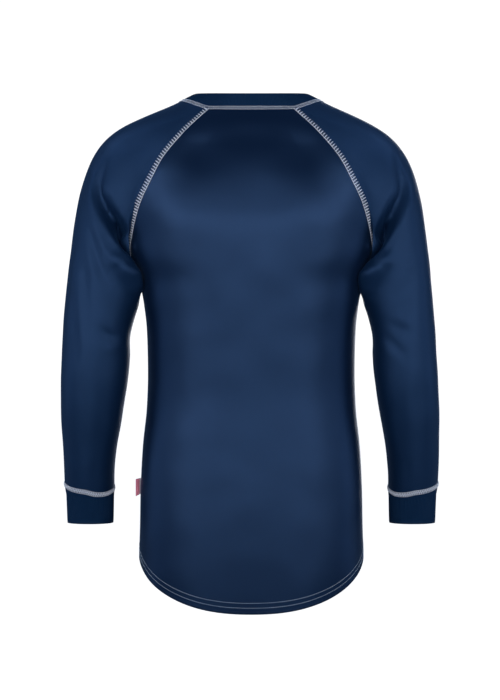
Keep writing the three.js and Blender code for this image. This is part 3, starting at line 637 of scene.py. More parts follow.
# %% The neckband
BAND_EDGE = {"half": 91, "power": 2.15, "back": (67, 7), "side": (-2, 12), "front": (-77, -78)}
BAND_BULGE = 0.8
EDGE_LEAD = 1.25        # turns the lines of the band a little towards its sides


def band_edge(angle):
    """The band's free edge at an angle from the middle of the back."""
    c, s = np.cos(angle), np.sin(angle)
    end_y = np.where(c >= 0, BAND_EDGE["back"][0], BAND_EDGE["front"][0])
    end_z = np.where(c >= 0, BAND_EDGE["back"][1], BAND_EDGE["front"][1])
    share = np.abs(c) ** (2 / BAND_EDGE["power"])
    dip = np.abs(c) ** np.where(c >= 0, 1.5, 1.35)
    side_y, side_z = BAND_EDGE["side"]
    return np.stack([BAND_EDGE["half"] * signed_power(s, 2 / BAND_EDGE["power"]),
                     side_y + (end_y - side_y) * share, side_z + (end_z - side_z) * dip], axis=-1)


def neck_seam(count=400):
    """The whole neck seam from the middle of the back by the wearer's left."""
    top = BODY_ROWS + SEAM_STEPS
    t = np.linspace(0, 1, count)
    back_line, front_line = body_grid(1, top, t[:-1]), body_grid(-1, top, t[::-1])
    left = np.concatenate([back_line, neck_over_sleeve(t[:-1] * NECK_STEPS), front_line])
    return np.concatenate([left, left[-2:0:-1] * [-1, 1, 1]])


neck_line = neck_seam()
neck_ribs = round(closed_length(neck_line) / RIB_PITCH)
ring = evenly(neck_line, neck_ribs * RIB_COLUMNS)
band_middle = np.array([0, (BAND_EDGE["back"][0] + BAND_EDGE["front"][0]) / 2, 0])
edge = band_edge(np.arctan2(ring[:, 0], (ring[:, 1] - band_middle[1]) * EDGE_LEAD))
away = (ring - band_middle) * [1, 1, 0]
away /= length_of(away)
share = np.linspace(0, 1, NECK_RIB_ROWS + 1)[:, None, None]
band_grid = ring * (1 - share) + edge * share + away * BAND_BULGE * np.sin(math.pi * share)
band_v = np.broadcast_to(np.linspace(0, BAND_HEIGHT, NECK_RIB_ROWS + 1)[:, None], band_grid.shape[:2])
band_u = np.broadcast_to(np.arange(len(ring)) * RIB_PITCH / RIB_COLUMNS, band_grid.shape[:2])
band_grid = draw_back(rib(band_grid, -1), True, -1)
neckband = cloth_piece("neckband_rib", band_grid, True, -1, band_u, band_v, RIB_WALL)
print("neckband", neck_ribs, "ribs, round", round(closed_length(neck_line)), "mm")


# %% The cuffs
def make_cuff(name, side, sleeve_grid):
    around = np.linspace(0, AROUND, 4 * AROUND + 1)[:-1]
    mirror = np.array([side, 1, 1])
    seam = sleeve_grid[-1, :-1]
    count = round(closed_length(seam) / RIB_PITCH) * RIB_COLUMNS
    rings = [evenly(seam, count)] + [evenly(ring_points(r, around) * mirror, count) for r in CUFF_RINGS]
    places = np.linspace(0, len(rings) - 1, CUFF_RIB_ROWS + 1)
    lower = np.minimum(places.astype(int), len(rings) - 2)
    rings = np.array(rings)
    share = (places - lower)[:, None, None]
    grid = rings[lower] * (1 - share) + rings[lower + 1] * share
    u = np.broadcast_to(np.arange(count + 1) * RIB_PITCH / RIB_COLUMNS, grid.shape[:2])
    v = np.broadcast_to(np.linspace(0, -CUFF_HEIGHT, CUFF_RIB_ROWS + 1)[:, None], grid.shape[:2])
    piece = cloth_piece(name, draw_back(rib(grid, side), True, -1), True, side, u, v, RIB_WALL)
    print(name, count // RIB_COLUMNS, "ribs")
    return piece


cuff_left = make_cuff("cuff_left_rib", 1, left_grid)
cuff_right = make_cuff("cuff_right_rib", -1, right_grid)

# %% [markdown]
# ## Flat seams
# The pieces are joined edge to edge by a flatlock machine. Two or more needles sew straight rows
# and a looper carries a thread from side to side over the join, so the seam is a flat pale ribbon of
# zigzag thread. One repeat of it is modelled from a cylinder, and the repeats are then laid along
# the seam on a small lattice that hugs the cloth on both sides of the join.

# %% The surface that the seams lie on
def surface_of(pieces):
    """One search tree over several pieces."""
    points, faces = [], []
    for piece in pieces:
        first = len(points)
        points += [v.co.copy() for v in piece.data.vertices]
        faces += [[first + v for v in p.vertices] for p in piece.data.polygons]
    return BVHTree.FromPolygons(points, faces)


surface = surface_of([back, front, sleeve_left, sleeve_right, neckband, cuff_left, cuff_right])
RAY_START, RAY_REACH = 4, 16        # above the seam line, and from there down to the cloth
LATTICE_PASSES = 3                  # of smoothing


def seam_lattice(line, outward_hint, half_width, closed, columns=9, step=1.5):
    """Points (along, across) on the cloth either side of a seam, with their normals, in millimetres."""
    ends = np.concatenate([line, line[:1]]) if closed else line
    along = lengths_along(ends)
    count = max(int(round(along[-1] / step)), 8)
    base = points_at(ends, along, np.linspace(0, along[-1], count + 1))
    way = np.gradient(base, axis=0)
    if closed:
        way[0] = way[-1] = base[1] - base[-2]
    way /= length_of(way)
    out = np.array([outward_hint(p) for p in base])
    across = np.cross(out, way)
    across /= length_of(across)
    out = np.cross(way, across)
    offsets = np.linspace(-half_width, half_width, columns)
    lattice = np.empty((count + 1, columns, 3))
    for n in range(count + 1):
        for c, offset in enumerate(offsets):
            start = base[n] + across[n] * offset
            above = Vector((start + out[n] * RAY_START) * MM)
            hit = surface.ray_cast(above, Vector(-out[n]), RAY_REACH * MM)[0]
            if hit is None:
                hit = surface.find_nearest(Vector(start * MM))[0]
            lattice[n, c] = np.array(hit) / MM
    soft = lattice.copy()
    for _ in range(LATTICE_PASSES):
        soft[1:-1] = eased(soft[:-2], soft[1:-1], soft[2:])
        soft[:, 1:-1] = eased(soft[:, :-2], soft[:, 1:-1], soft[:, 2:])
        if closed:
            soft[0] = soft[-1] = eased(soft[-2], soft[0], soft[1])
    normals = np.cross(np.gradient(soft, axis=1), np.gradient(soft, axis=0))
    flip = np.sign((normals[:, columns // 2] * out).sum(axis=-1))
    normals *= flip[:, None, None]
    normals /= np.maximum(length_of(normals), 1e-9)
    return {"points": soft, "normals": normals, "length": along[-1], "half": half_width, "closed": closed}


def on_lattice(lattice, across, along, height):
    """Where a point that is so far across, along and above the seam lies in space."""
    points, normals = lattice["points"], lattice["normals"]
    rows, columns = points.shape[0] - 1, points.shape[1] - 1
    r = np.clip(along / lattice["length"] * rows, 0, rows - 1e-6)
    c = np.clip((across / lattice["half"] + 1) / 2 * columns, 0, columns - 1e-6)
    i, j = r.astype(int), c.astype(int)
    a, b = (r - i)[:, None], (c - j)[:, None]
    spots = [((i, j), (1 - b) * (1 - a)), ((i, j + 1), b * (1 - a)),
             ((i + 1, j), (1 - b) * a), ((i + 1, j + 1), b * a)]
    base, up = (sum(field[spot] * share for spot, share in spots) for field in (points, normals))
    return base + up * height[:, None]


# %% One thread, one repeat
THREAD_END = 0.55       # how slim a thread's ends are


def cut_across(piece, places, axis):
    """Cuts all the faces at places along an axis, so that they can bend there."""
    for place in places:
        on_all(piece, bpy.ops.mesh.bisect, plane_co=axis * place, plane_no=axis)


def thread(start, end, radius, rise, segments=3, sides=4):
    """A plump stretch of thread from start to end, raised in its middle and slim at both ends."""
    start, end = Vector(start), Vector(end)
    reach = (end - start).length
    bpy.ops.mesh.primitive_cylinder_add(vertices=sides, radius=radius, depth=reach)
    piece = bpy.context.object
    cut_across(piece, [(cut / segments - 0.5) * reach for cut in range(1, segments)], Vector((0, 0, 1)))
    turn = (end - start).to_track_quat("Z", "Y").to_matrix()
    for v in piece.data.vertices:
        share = v.co.z / reach + 0.5
        slim = THREAD_END if min(share, 1 - share) < 0.01 else 1
        lift = rise * math.sin(math.pi * share) - (1 - slim) * radius
        place = Vector((v.co.x * slim, v.co.y * slim, v.co.z + reach / 2))
        v.co = start + turn @ place + Vector((0, 0, lift))
    return piece


def joined(pieces, name):
    bpy.ops.object.select_all(action="DESELECT")
    for piece in pieces:
        piece.select_set(True)
    bpy.context.view_layer.objects.active = pieces[0]
    bpy.ops.object.join()
    piece = bpy.context.object
    piece.name = piece.data.name = name
    return piece


def laid_along(name, unit, pitch, lattice, turn=1):
    """Repeats a unit (x across, y along, z up, in millimetres) along a seam. turn -1 mirrors it."""
    points = np.array([v.co for v in unit.data.vertices]) * [turn, 1, 1]
    faces = [list(p.vertices) for p in unit.data.polygons]
    count = max(int(round(lattice["length"] / pitch)), 1)
    stretch = lattice["length"] / (count * pitch)
    along = (points[None, :, 1] + np.arange(count)[:, None] * pitch) * stretch
    if lattice["closed"]:
        along = np.mod(along, lattice["length"] - 1e-6)
    across, height = (np.broadcast_to(points[None, :, c], along.shape).ravel() for c in (0, 2))
    placed = on_lattice(lattice, across, along.ravel(), height)
    shift = len(points)
    polygons = [[v + n * shift for v in face] for n in range(count) for face in faces]
    mesh = bpy.data.meshes.new(name)
    mesh.from_pydata((placed * MM).tolist(), [], polygons)
    piece = bpy.data.objects.new(name, mesh)
    bpy.context.scene.collection.objects.link(piece)
    on_all(piece, bpy.ops.mesh.normals_make_consistent, inside=False)
    bpy.ops.object.shade_smooth_by_angle(angle=math.radians(60))
    return piece


# %% [markdown]
# The seams are about 8 mm wide. On the raglan seams bold strokes stand like the teeth of a comb on
# a row along the trunk's side. The cuffs' seams are dense, like a rope, and the neck has two rows
# with thin strokes between them. Each repeat has only a few dozen faces, because it is laid
# hundreds of times.

# %% One repeat of each flat seam
SEAM_WIDTH = 8.4
COMB_PITCH, ROPE_PITCH, NECK_PITCH = 4.6, 2.9, 3.6
HALF_SEAM = SEAM_WIDTH / 2 - 0.5        # to the middle of the outermost thread


def comb_unit(half=HALF_SEAM, pitch=COMB_PITCH):
    return joined([
        thread((-half, 0, 0.3), (half + 0.6, 1.0, 0.3), 0.85, 0.4, sides=5),
        thread((half, 1.0, 0.1), (-half, pitch, 0.1), 0.24, 0.2),
        thread((0.7 - half, 0.1, 0.7), (0.7 - half, pitch - 0.1, 0.7), 0.6, 0.15, 2),
    ], "comb_unit")


def rope_unit(half=HALF_SEAM, pitch=ROPE_PITCH):
    return joined([
        thread((-half, 0, 0.3), (half, pitch / 2, 0.3), 0.66, 0.6, sides=5),
        thread((half, pitch / 2, 0.3), (-half, pitch, 0.3), 0.5, 0.5),
        thread((0.5 - half, 0.1, 0.6), (0.5 - half, pitch - 0.1, 0.6), 0.42, 0.15, 2),
        thread((half - 0.5, 0.1, 0.6), (half - 0.5, pitch - 0.1, 0.6), 0.42, 0.15, 2),
    ], "rope_unit")


def neck_unit(half=2.4, pitch=NECK_PITCH):
    return joined([
        thread((-half, 0, 0.2), (half, pitch / 2, 0.2), 0.3, 0.2),
        thread((half, pitch / 2, 0.2), (-half, pitch, 0.2), 0.3, 0.2),
        thread((-half, 0.1, 0.4), (-half, pitch - 0.1, 0.4), 0.62, 0.2, 2, 5),
        thread((half, 0.1, 0.4), (half, pitch - 0.1, 0.4), 0.58, 0.2, 2, 5),
    ], "neck_unit")


units = {
    "raglan": (comb_unit(), COMB_PITCH), "cuff": (rope_unit(), ROPE_PITCH), "neck": (neck_unit(), NECK_PITCH),
}
for name, (unit, pitch) in units.items():
    print(name, "repeat", pitch, "mm,", len(unit.data.polygons), "faces")

# %% Lines of the seams
LINE_POINTS = 160
UNDERARM_START = 0.12       # steps from the underarm, where a raglan seam begins
mirror_x = np.array([-1, 1, 1])
raglan_back = push(sleeve_seam(np.linspace(UNDERARM_START, SEAM_STEPS, LINE_POINTS)), ARMPIT_PUSHES)
raglan_front = sleeve_seam(np.linspace(AROUND - UNDERARM_START, AROUND - SEAM_STEPS, LINE_POINTS))


def from_trunk(p):
    """Outwards from the trunk's axis, for seams on the chest and back."""
    return np.array([p[0] * 0.45, np.sign(p[1]) * 95 if abs(p[1]) > 20 else p[1] * 3, 22 + 0.1 * p[2]])


def from_neck(p):
    """Outwards from the neck's axis and a little up."""
    out = np.array([p[0], p[1] - band_middle[1], 0])
    return out / np.linalg.norm(out) + np.array([0, 0, 0.55])


def from_arm(ring):
    """A hint that points outwards from the middle of a cuff's seam."""
    middle = ring.mean(axis=0)

    def hint(p):
        return (p - middle) * [1, 1, 0.0]
    return hint


# %% Sewing the contrast seams
SEAM_REACH = 5.2        # from a seam to the edge of its lattice
# How far a cuff's seam wanders up: distances from the trunk's middle, and the rise at each
CUFF_WAVES = {
    1: ([222, 230, 237, 249, 256, 262, 270, 287, 294], [1, -0.6, -0.9, -0.2, 1.4, 2.9, 3.4, 3.4, 4]),
    -1: ([222, 229, 236, 249, 256, 262, 270, 287, 294], [0, -1.7, -1.4, -0.2, 1.4, 2.5, 2.5, 3.2, 4]),
}


def cuff_line(grid, side):
    line = grid[-1, :-1].copy()
    behind = smoothstep(-12, 12, line[:, 1] - line[:, 1].mean())
    line[:, 2] += np.interp(np.abs(line[:, 0]), *CUFF_WAVES[side]) * (0.35 + 0.65 * behind)
    return line


cuff_lines = {side: cuff_line(grid, side) for side, grid in ((1, left_grid), (-1, right_grid))}
# columns: line, outward hint, closed, unit, turn
seam_lines = {
    "raglan_back_left": (raglan_back, from_trunk, False, "raglan", 1),
    "raglan_back_right": (raglan_back * mirror_x, from_trunk, False, "raglan", -1),
    "raglan_front_left": (raglan_front, from_trunk, False, "raglan", -1),
    "raglan_front_right": (raglan_front * mirror_x, from_trunk, False, "raglan", 1),
    "neck_seam": (neck_line, from_neck, True, "neck", 1),
    "cuff_seam_left": (cuff_lines[1], from_arm(cuff_lines[1]), True, "cuff", 1),
    "cuff_seam_right": (cuff_lines[-1], from_arm(cuff_lines[-1]), True, "cuff", -1),
}
lattices, seams = {}, {}
for name, (line, hint, closed, kind, turn) in seam_lines.items():
    lattices[name] = seam_lattice(line, hint, SEAM_REACH, closed)
    seams[name] = laid_along(name, *units[kind], lattices[name], turn)
    print(name, round(lattices[name]["length"]), "mm,", len(seams[name].data.polygons), "faces")
for unit, _ in units.values():
    bpy.data.objects.remove(unit)

# %% The folded edge under the threads
STRIP_HEIGHT = 0.4


def seam_strip(name, lattice, half=SEAM_WIDTH / 2 + 0.2, columns=8):
    """The two overlapped edges of cloth, which the threads cover: a low flat ridge."""
    rows = lattice["points"].shape[0] - 1
    strip, x, y = new_grid(name, columns, rows)
    across, along = (2 * x - 1) * half, y * lattice["length"]
    height = STRIP_HEIGHT * np.clip((1 - (np.abs(across) / half) ** 6) * 1.5 - 0.5, -0.5, 1)
    lay_out(strip, on_lattice(lattice, across, along, height), across, along)
    middle = strip.data.polygons[(rows // 2) * columns + columns // 2]
    if middle.normal.dot(Vector(lattice["normals"][rows // 2, 4])) < 0:
        strip.data.flip_normals()
    only(strip)
    bpy.ops.object.shade_smooth()
    return strip


strips = {name: seam_strip(name + "_fold", lattice) for name, lattice in lattices.items()}

# %% [markdown]
# ## The twin-needle hem
# Two needles sew the turned-up hem in parallel rows, about 10 and 18 mm above the edge. Outside,
# only short straight stitches show, each diving back into the cloth.

# %% Hem rows
HEM_ROWS = (10.4, 18)
HEM_STITCH = 3.3
HEM_GAP = 0.35          # from the end of a stitch to the next one's repeat


def hem_line(height):
    """A line round the garment at a height above the hem's edge, from the left side by the back."""
    t = np.linspace(1, -1, 300)
    rise = height / HEM_DEPTH
    back_line = body_grid(1, rise, t)
    front_line = body_grid(-1, rise, -t)
    return np.concatenate([back_line[:-1], front_line[:-1]])


def from_axis(p):
    return np.array([p[0] * 0.6, p[1], 0])


stitch = thread((0, HEM_GAP, 0.12), (0, HEM_STITCH - HEM_GAP, 0.12), 0.36, 0.2)
hem = {}
for n, height in enumerate(HEM_ROWS):
    lattice = seam_lattice(hem_line(height), from_axis, 2, True, 3, 3)
    hem[f"hem_row_{n + 1}"] = laid_along(f"hem_row_{n + 1}", stitch, HEM_STITCH, lattice)
    print("hem row", n + 1, round(lattice["length"]), "mm")
bpy.data.objects.remove(stitch)

# %% [markdown]
# ## The tab in the side seam
# A short red ribbon is folded double and caught in the seam, with a paler woven edge next to it. It
# starts as a cube at the ribbon's size. Its faces are cut into rows, the outer edges are bevelled into
# the fold, and then it is bent so that the free end hangs aslant.

# %% The folded tab
TAB = {"z": -614, "height": 25, "reach": 8.4, "thick": 1.2, "backward": 0.35, "slant": 4.4}
tab_root = body_point(1, np.array(math.pi / 2), np.array(float(TAB["z"])))
bpy.ops.mesh.primitive_cube_add(size=1)
tab = bpy.context.object
tab.name = tab.data.name = "tab_ribbon"
for v in tab.data.vertices:
    v.co = ((v.co.x + 0.5) * TAB["reach"], v.co.y * TAB["thick"], v.co.z * TAB["height"])
cut_across(tab, (2.4, 4.8, 7), Vector((1, 0, 0)))
cut_across(tab, np.linspace(-12, 12, 11), Vector((0, 0, 1)))
on_all(tab, bpy.ops.mesh.select_all, action="DESELECT")
for e in tab.data.edges:
    ends = [tab.data.vertices[i].co for i in e.vertices]
    e.select = all(p.x > TAB["reach"] - 0.01 for p in ends) and abs(ends[0].y - ends[1].y) < 0.01
bpy.ops.object.mode_set(mode="EDIT")
bpy.ops.mesh.bevel(offset=TAB["thick"] / 2.2, segments=4, affect="EDGES")
bpy.ops.object.mode_set(mode="OBJECT")
for v in tab.data.vertices:
    share = v.co.x / TAB["reach"]
    v.co.y += 0.9 * math.sin(math.pi * share) * (0.6 + 0.4 * math.cos(v.co.z / 9)) - 0.5 * share
    v.co.z -= TAB["slant"] * share * (0.4 if v.co.z > 0 else 1)
turn = Matrix.Rotation(TAB["backward"], 4, "Z")
place = Matrix.Translation(Vector(tab_root) * MM) @ turn @ Matrix.Scale(MM, 4)
tab.data.transform(place)
only(tab)
bpy.ops.object.shade_smooth_by_angle(angle=math.radians(40))
print("tab", [round(d * 1000, 1) for d in tab.dimensions])

# %% [markdown]
# ## Materials
# Each finish is a node tree on the piece's own UV map, which is in metres of cloth. The knit's wales
# are a node group with named sockets, so that each material can set its own size; the thread's twist
# is a wave texture. The soft gleam of the polyester face comes from the shader: a fairly low roughness,
# blue highlights and a little sheen. The sleeves' knit is duller than the trunk's, and its colour is a
# lighter, bluer copy of the trunk's navy: painted light for the light that the sleeves catch. The rib is
# matt.

# %% A small language for node trees
def new_group(name, inputs, outputs):
    tree = bpy.data.node_groups.new(name, "ShaderNodeTree")
    for label, kind, value in inputs:
        socket = tree.interface.new_socket(label, in_out="INPUT", socket_type=kind)
        if value is not None:
            socket.default_value = value
    for label, kind in outputs:
        tree.interface.new_socket(label, in_out="OUTPUT", socket_type=kind)
    return tree, tree.nodes.new("NodeGroupInput"), tree.nodes.new("NodeGroupOutput")


def feed(tree, socket, value):
    if isinstance(value, bpy.types.NodeSocket):
        tree.links.new(value, socket)
    else:
        socket.default_value = value


def math_node(tree, operation, *values):
    node = tree.nodes.new("ShaderNodeMath")
    node.operation = operation
    for socket, value in zip(node.inputs, values):
        feed(tree, socket, value)
    return node.outputs[0]


def mix_colour(tree, share, first, second):
    node = tree.nodes.new("ShaderNodeMix")
    node.data_type = "RGBA"
    feed(tree, node.inputs[0], share)
    feed(tree, node.inputs[6], first)
    feed(tree, node.inputs[7], second)
    return node.outputs[2]


def noise_node(tree, vector, scale, detail=2.0, roughness=0.5):
    node = tree.nodes.new("ShaderNodeTexNoise")
    feed(tree, node.inputs["Vector"], vector)
    feed(tree, node.inputs["Scale"], scale)
    node.inputs["Detail"].default_value = detail
    node.inputs["Roughness"].default_value = roughness
    return node.outputs["Fac"]


def set_shader(shader, constants):
    for socket, value in constants.items():
        shader.inputs[socket].default_value = value


def bump(tree, shader, height, distance, strength=1.0):
    node = tree.nodes.new("ShaderNodeBump")
    node.inputs["Distance"].default_value = distance
    node.inputs["Strength"].default_value = strength
    feed(tree, node.inputs["Height"], height)
    feed(tree, shader.inputs["Normal"], node.outputs[0])


# %% The knit group
def make_knit_group():
    """Upright wales made of small V-shaped loops, with a little fuzz, and a mask for painted shade in the
    grooves between the wales.
    """
    tree, given, made = new_group("knit_wales", [
        ("Cloth", "NodeSocketVector", None), ("Wale", "NodeSocketFloat", 0.0011),
        ("Course", "NodeSocketFloat", 0.0009), ("Fuzz", "NodeSocketFloat", 0.3),
    ], [("Height", "NodeSocketFloat"), ("Painted groove shade", "NodeSocketFloat")])
    split = tree.nodes.new("ShaderNodeSeparateXYZ")
    feed(tree, split.inputs[0], given.outputs["Cloth"])
    u = math_node(tree, "DIVIDE", split.outputs[0], given.outputs["Wale"])
    v = math_node(tree, "DIVIDE", split.outputs[1], given.outputs["Course"])
    across = math_node(tree, "PINGPONG", u, 0.5)
    wale = math_node(tree, "SINE", math_node(tree, "MULTIPLY", across, math.pi))
    slant = math_node(tree, "ADD", v, across)
    swing = math_node(tree, "SINE", math_node(tree, "MULTIPLY", slant, 2 * math.pi))
    loop = math_node(tree, "MULTIPLY_ADD", swing, 0.5, 0.5)
    fuzz = noise_node(tree, given.outputs["Cloth"], 900.0)
    height = math_node(tree, "MULTIPLY", wale, math_node(tree, "MULTIPLY_ADD", loop, 0.35, 0.65))
    height = math_node(tree, "ADD", height, math_node(tree, "MULTIPLY", fuzz, given.outputs["Fuzz"]))
    feed(tree, made.inputs["Height"], height)
    feed(tree, made.inputs["Painted groove shade"], math_node(tree, "SUBTRACT", 1.0, wale))
    return tree


knit_group = make_knit_group()


# %% Knit and rib materials
def new_material(name):
    material = bpy.data.materials.new(name)
    material.use_nodes = True
    tree = material.node_tree
    shader = next(n for n in tree.nodes if n.type == "BSDF_PRINCIPLED")
    return material, tree, shader


def knit_material(name, colours, stitch, roughness, sheen, specular):
    """Knit of two close colours, with painted shade in the grooves between the wales. stitch is the width,
    height and depth of one, in metres.
    """
    material, tree, shader = new_material(name)
    uv_node = tree.nodes.new("ShaderNodeUVMap")
    uv_node.uv_map = "cloth"
    cloth_uv = uv_node.outputs[0]
    knit = tree.nodes.new("ShaderNodeGroup")
    knit.node_tree = knit_group
    feed(tree, knit.inputs["Cloth"], cloth_uv)
    knit.inputs["Wale"].default_value = stitch[0]
    knit.inputs["Course"].default_value = stitch[1]
    cloudy = noise_node(tree, cloth_uv, 14.0, 3.0)
    flecks = noise_node(tree, cloth_uv, 420.0, 2.0)
    tone = math_node(tree, "MULTIPLY_ADD", cloudy, 0.5, math_node(tree, "MULTIPLY", flecks, 0.3))
    # painted shade: the grooves between the wales lean to the darker colour
    tone = math_node(tree, "MULTIPLY_ADD", knit.outputs["Painted groove shade"], 0.25, tone)
    tone = math_node(tree, "SUBTRACT", tone, 0.1)
    feed(tree, shader.inputs["Base Color"], mix_colour(tree, tone, *colours))
    worn = math_node(tree, "MULTIPLY_ADD", flecks, 0.12, roughness - 0.06)
    feed(tree, shader.inputs["Roughness"], worn)
    set_shader(shader, {
        "Sheen Weight": sheen, "Sheen Roughness": 0.4, "Sheen Tint": (0.16, 0.42, 1, 1),
        "Specular IOR Level": specular, "Specular Tint": (0.21, 0.44, 1, 1), "IOR": 1.65,
    })
    bump(tree, shader, knit.outputs["Height"], stitch[2], 0.7)
    return material


# the lighter and the darker colour of each knit
NAVY = ((0.0016, 0.0070, 0.0225, 1), (0.0010, 0.0045, 0.0156, 1))
# the sleeves' navy is a lighter copy of the trunk's: painted light for the extra light on the sleeves
SLEEVE_NAVY_PAINTED_LIGHTER = ((0.0022, 0.0130, 0.0400, 1), (0.0014, 0.0088, 0.0280, 1))
RIB_NAVY = ((0.0040, 0.0220, 0.0620, 1), (0.0028, 0.0150, 0.0440, 1))
FLAT_STITCH, RIB_STITCH = (0.0011, 0.0009, 0.00008), (0.0012, 0.0010, 0.00014)
knit = knit_material("navy_knit", NAVY, FLAT_STITCH, 0.41, 0.12, 0.60)
# the sleeves wear the lighter copy of the navy, as painted light
sleeve_knit_painted_lighter = knit_material("navy_sleeve_knit", SLEEVE_NAVY_PAINTED_LIGHTER, FLAT_STITCH, 0.50, 0.12, 0.56)
rib_knit = knit_material("navy_rib", RIB_NAVY, RIB_STITCH, 0.6, 0.05, 0.25)


# %% Thread and ribbon materials
# Twisted polyester thread has slanted plies, and a woven ribbon has level rows.
THREAD = {"bands": "DIAGONAL", "scale": 700, "distortion": 1.5, "patches": 260, "share": 0.45, "uneven": 0.5,
          "depth": 0.0001, "finish": {"Roughness": 0.5, "Specular IOR Level": 0.4}}
RIBBON = {"bands": "Z", "scale": 900, "distortion": 0, "patches": 500, "share": 0.5, "uneven": 0.4,
          "depth": 0.00008, "finish": {"Roughness": 0.42, "Sheen Weight": 0.2}}


def fibre_material(name, kind, light, dark):
    """Fine ridges of fibre in a slightly uneven colour."""
    material, tree, shader = new_material(name)
    place = tree.nodes.new("ShaderNodeTexCoord").outputs["Object"]
    ridges = tree.nodes.new("ShaderNodeTexWave")
    ridges.bands_direction = kind["bands"]
    feed(tree, ridges.inputs["Vector"], place)
    ridges.inputs["Scale"].default_value = kind["scale"]
    ridges.inputs["Distortion"].default_value = kind["distortion"]
    uneven = math_node(tree, "MULTIPLY", noise_node(tree, place, kind["patches"]), kind["uneven"])
    tone = math_node(tree, "MULTIPLY_ADD", ridges.outputs["Fac"], kind["share"], uneven)
    feed(tree, shader.inputs["Base Color"], mix_colour(tree, tone, light, dark))
    set_shader(shader, kind["finish"])
    bump(tree, shader, ridges.outputs["Fac"], kind["depth"])
    return material


grey_thread = fibre_material("pale_grey_thread", THREAD, (0.88, 0.90, 0.98, 1), (0.57, 0.60, 0.72, 1))
hem_thread = fibre_material("pale_blue_thread", THREAD, (0.74, 0.86, 1.0, 1), (0.50, 0.60, 0.76, 1))
tab_red = fibre_material("red_ribbon", RIBBON, (0.98, 0.34, 0.46, 1), (0.90, 0.20, 0.32, 1))
tab_pale = fibre_material("pale_ribbon_edge", RIBBON, (0.92, 0.84, 0.88, 1), (0.72, 0.62, 0.68, 1))

# %% Dressing the pieces
wears = [
    (knit, (back, front, *strips.values())), (sleeve_knit_painted_lighter, (sleeve_left, sleeve_right)),
    (rib_knit, (neckband, cuff_left, cuff_right)), (grey_thread, seams.values()), (hem_thread, hem.values()),
    (tab_red, [tab]), (tab_pale, [tab]),
]
for material, pieces in wears:
    for piece in pieces:
        piece.data.materials.append(material)
PALE_REACH = 2.3        # of the pale edge, from the side seam
for face in tab.data.polygons:
    face.material_index = 1 if face.center.x < (tab_root[0] + PALE_REACH) * MM else 0

# %% [markdown]
# ## Joining the frame
# Every piece rides on the garment's one body. A piece of cloth replaces its plain solid, which is hidden.

# %% Riding and replacing
stands_for = {
    back: ("back", "knit"), front: ("front", "knit"), sleeve_left: ("sleeve_left", "knit"),
    sleeve_right: ("sleeve_right", "knit"), neckband: ("neckband", "rib"),
    cuff_left: ("cuff_left", "rib"), cuff_right: ("cuff_right", "rib"), tab: ("side_tab", "tab"),
}
for piece, (node, slot) in stands_for.items():
    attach(piece, BODY)
    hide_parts(node)
for piece in (*seams.values(), *hem.values()):
    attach(piece, BODY)
for piece in strips.values():
    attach(piece, BODY)

# %% [markdown]
# ## Floor, light and camera
# The photograph was taken straight from behind, level with the middle of the garment, on white. Three
# wide softboxes, behind the camera's place and to its left and right, give the broad gleam down the
# back and the sleeves. Two low ones lift the cuffs' end of the sleeves, and cool ones at the sides and
# above keep the cloth blue where it turns away. A large one lights the front.

# %% Floor
FLOOR_Z = -1.45
bpy.ops.mesh.primitive_circle_add(vertices=96, radius=60, fill_type="NGON", location=(0, 0, FLOOR_Z))
floor = bpy.context.object
floor.name = "studio_floor"
pale, floor_tree, floor_shader = new_material("pale_floor")
set_shader(floor_shader, {
    "Base Color": (0.86, 0.87, 0.88, 1), "Roughness": 0.9, "Emission Color": (1, 1, 1, 1),
})
seen = floor_tree.nodes.new("ShaderNodeLightPath")
feed(floor_tree, floor_shader.inputs["Emission Strength"],
     math_node(floor_tree, "MULTIPLY", seen.outputs["Is Camera Ray"], 1.0))
floor.data.materials.append(pale)
floor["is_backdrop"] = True

# %% World
world = bpy.data.worlds.new("studio")
bpy.context.scene.world = world
world.use_nodes = True
tree = world.node_tree
background = next(n for n in tree.nodes if n.type == "BACKGROUND")
AMBIENT, BACKDROP = 0.11, 1.1       # the light on the garment, and the white behind it
COOL_SKY, WHITE = (0.42, 0.66, 1, 1), (1, 1, 1, 1)
camera_ray = tree.nodes.new("ShaderNodeLightPath").outputs["Is Camera Ray"]
strength = math_node(tree, "MULTIPLY_ADD", camera_ray, BACKDROP - AMBIENT, AMBIENT)
feed(tree, background.inputs["Color"], mix_colour(tree, camera_ray, COOL_SKY, WHITE))
feed(tree, background.inputs["Strength"], strength)


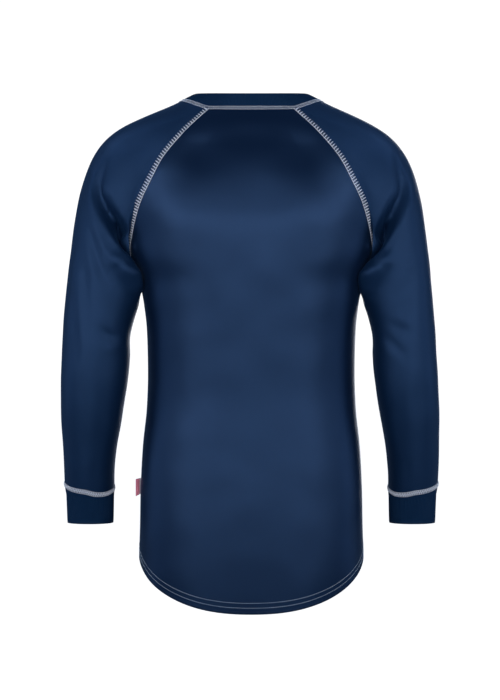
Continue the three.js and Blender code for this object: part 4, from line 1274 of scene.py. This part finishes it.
# %% Softboxes
def softbox(name, place, target, width, height, power, spread=180, colour=(1, 1, 1)):
    """A rectangular softbox. A grid in front of it narrows its spread, in degrees."""
    light = bpy.data.lights.new(name, "AREA")
    light.shape = "RECTANGLE"
    light.size, light.size_y = width, height
    light.energy = power
    light.color = colour
    light.spread = math.radians(spread)
    lamp = bpy.data.objects.new(name, light)
    lamp.location = place
    lamp.rotation_euler = (Vector(target) - Vector(place)).to_track_quat("-Z", "Y").to_euler()
    bpy.context.scene.collection.objects.link(lamp)


COOL = (0.5, 0.74, 1)
TRUNK = (0, 0, -0.15)
for side, label, power in ((1, "left", 2.0), (-1, "right", 1.9)):
    softbox("softbox_" + label, (1.6 * side, 1.8, -0.1), TRUNK, 1.4, 0.45, power, 64)
    softbox("softbox_low_" + label, (0.9 * side, 2, -1.05), (0.26 * side, 0, -0.6), 0.5, 0.4, 0.065, 24)
    softbox("softbox_side_" + label, (2.2 * side, 0, -0.2), (0.2 * side, 0, -0.35), 0.9, 1.2, 1.3, 90, COOL)
    softbox("shoulder_" + label, (1.5 * side, 0.1, 1.2), (0.17 * side, 0, -0.05), 0.8, 0.6, 0.42, 40, COOL)
softbox("softbox_camera", (0, 2.4, -0.1), TRUNK, 2.0, 0.45, 2.5, 64)
softbox("softbox_front", (-0.6, -3.2, 0.2), (0, 0, -0.4), 2.0, 2.0, 32)

# %% Camera at the photograph's angle
PHOTO_SCALE = 1.6 * MM       # metres to a pixel at the garment
PHOTO_HEIGHT = 700
AIM_X, AIM_Z = 1.3 * PHOTO_SCALE, -0.397
DISTANCE = 4.0
camera_data = bpy.data.cameras.new("camera")
camera = bpy.data.objects.new("camera", camera_data)
bpy.context.scene.collection.objects.link(camera)
camera.location = (AIM_X, DISTANCE, AIM_Z)
camera.rotation_euler = (math.radians(90), 0, math.radians(180))
camera_data.lens = camera_data.sensor_width * DISTANCE / (PHOTO_HEIGHT * PHOTO_SCALE)
bpy.context.scene.camera = camera
bpy.context.scene.view_settings.view_transform = "Standard"

# %% Sizes, then finish
low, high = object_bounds()
sizes = {"cad": [list(cad_low), list(cad_high)], "visual": [list(low), list(high)]}
for label, (a, b) in sizes.items():
    print(label, [round(x, 4) for x in a], [round(x, 4) for x in b])
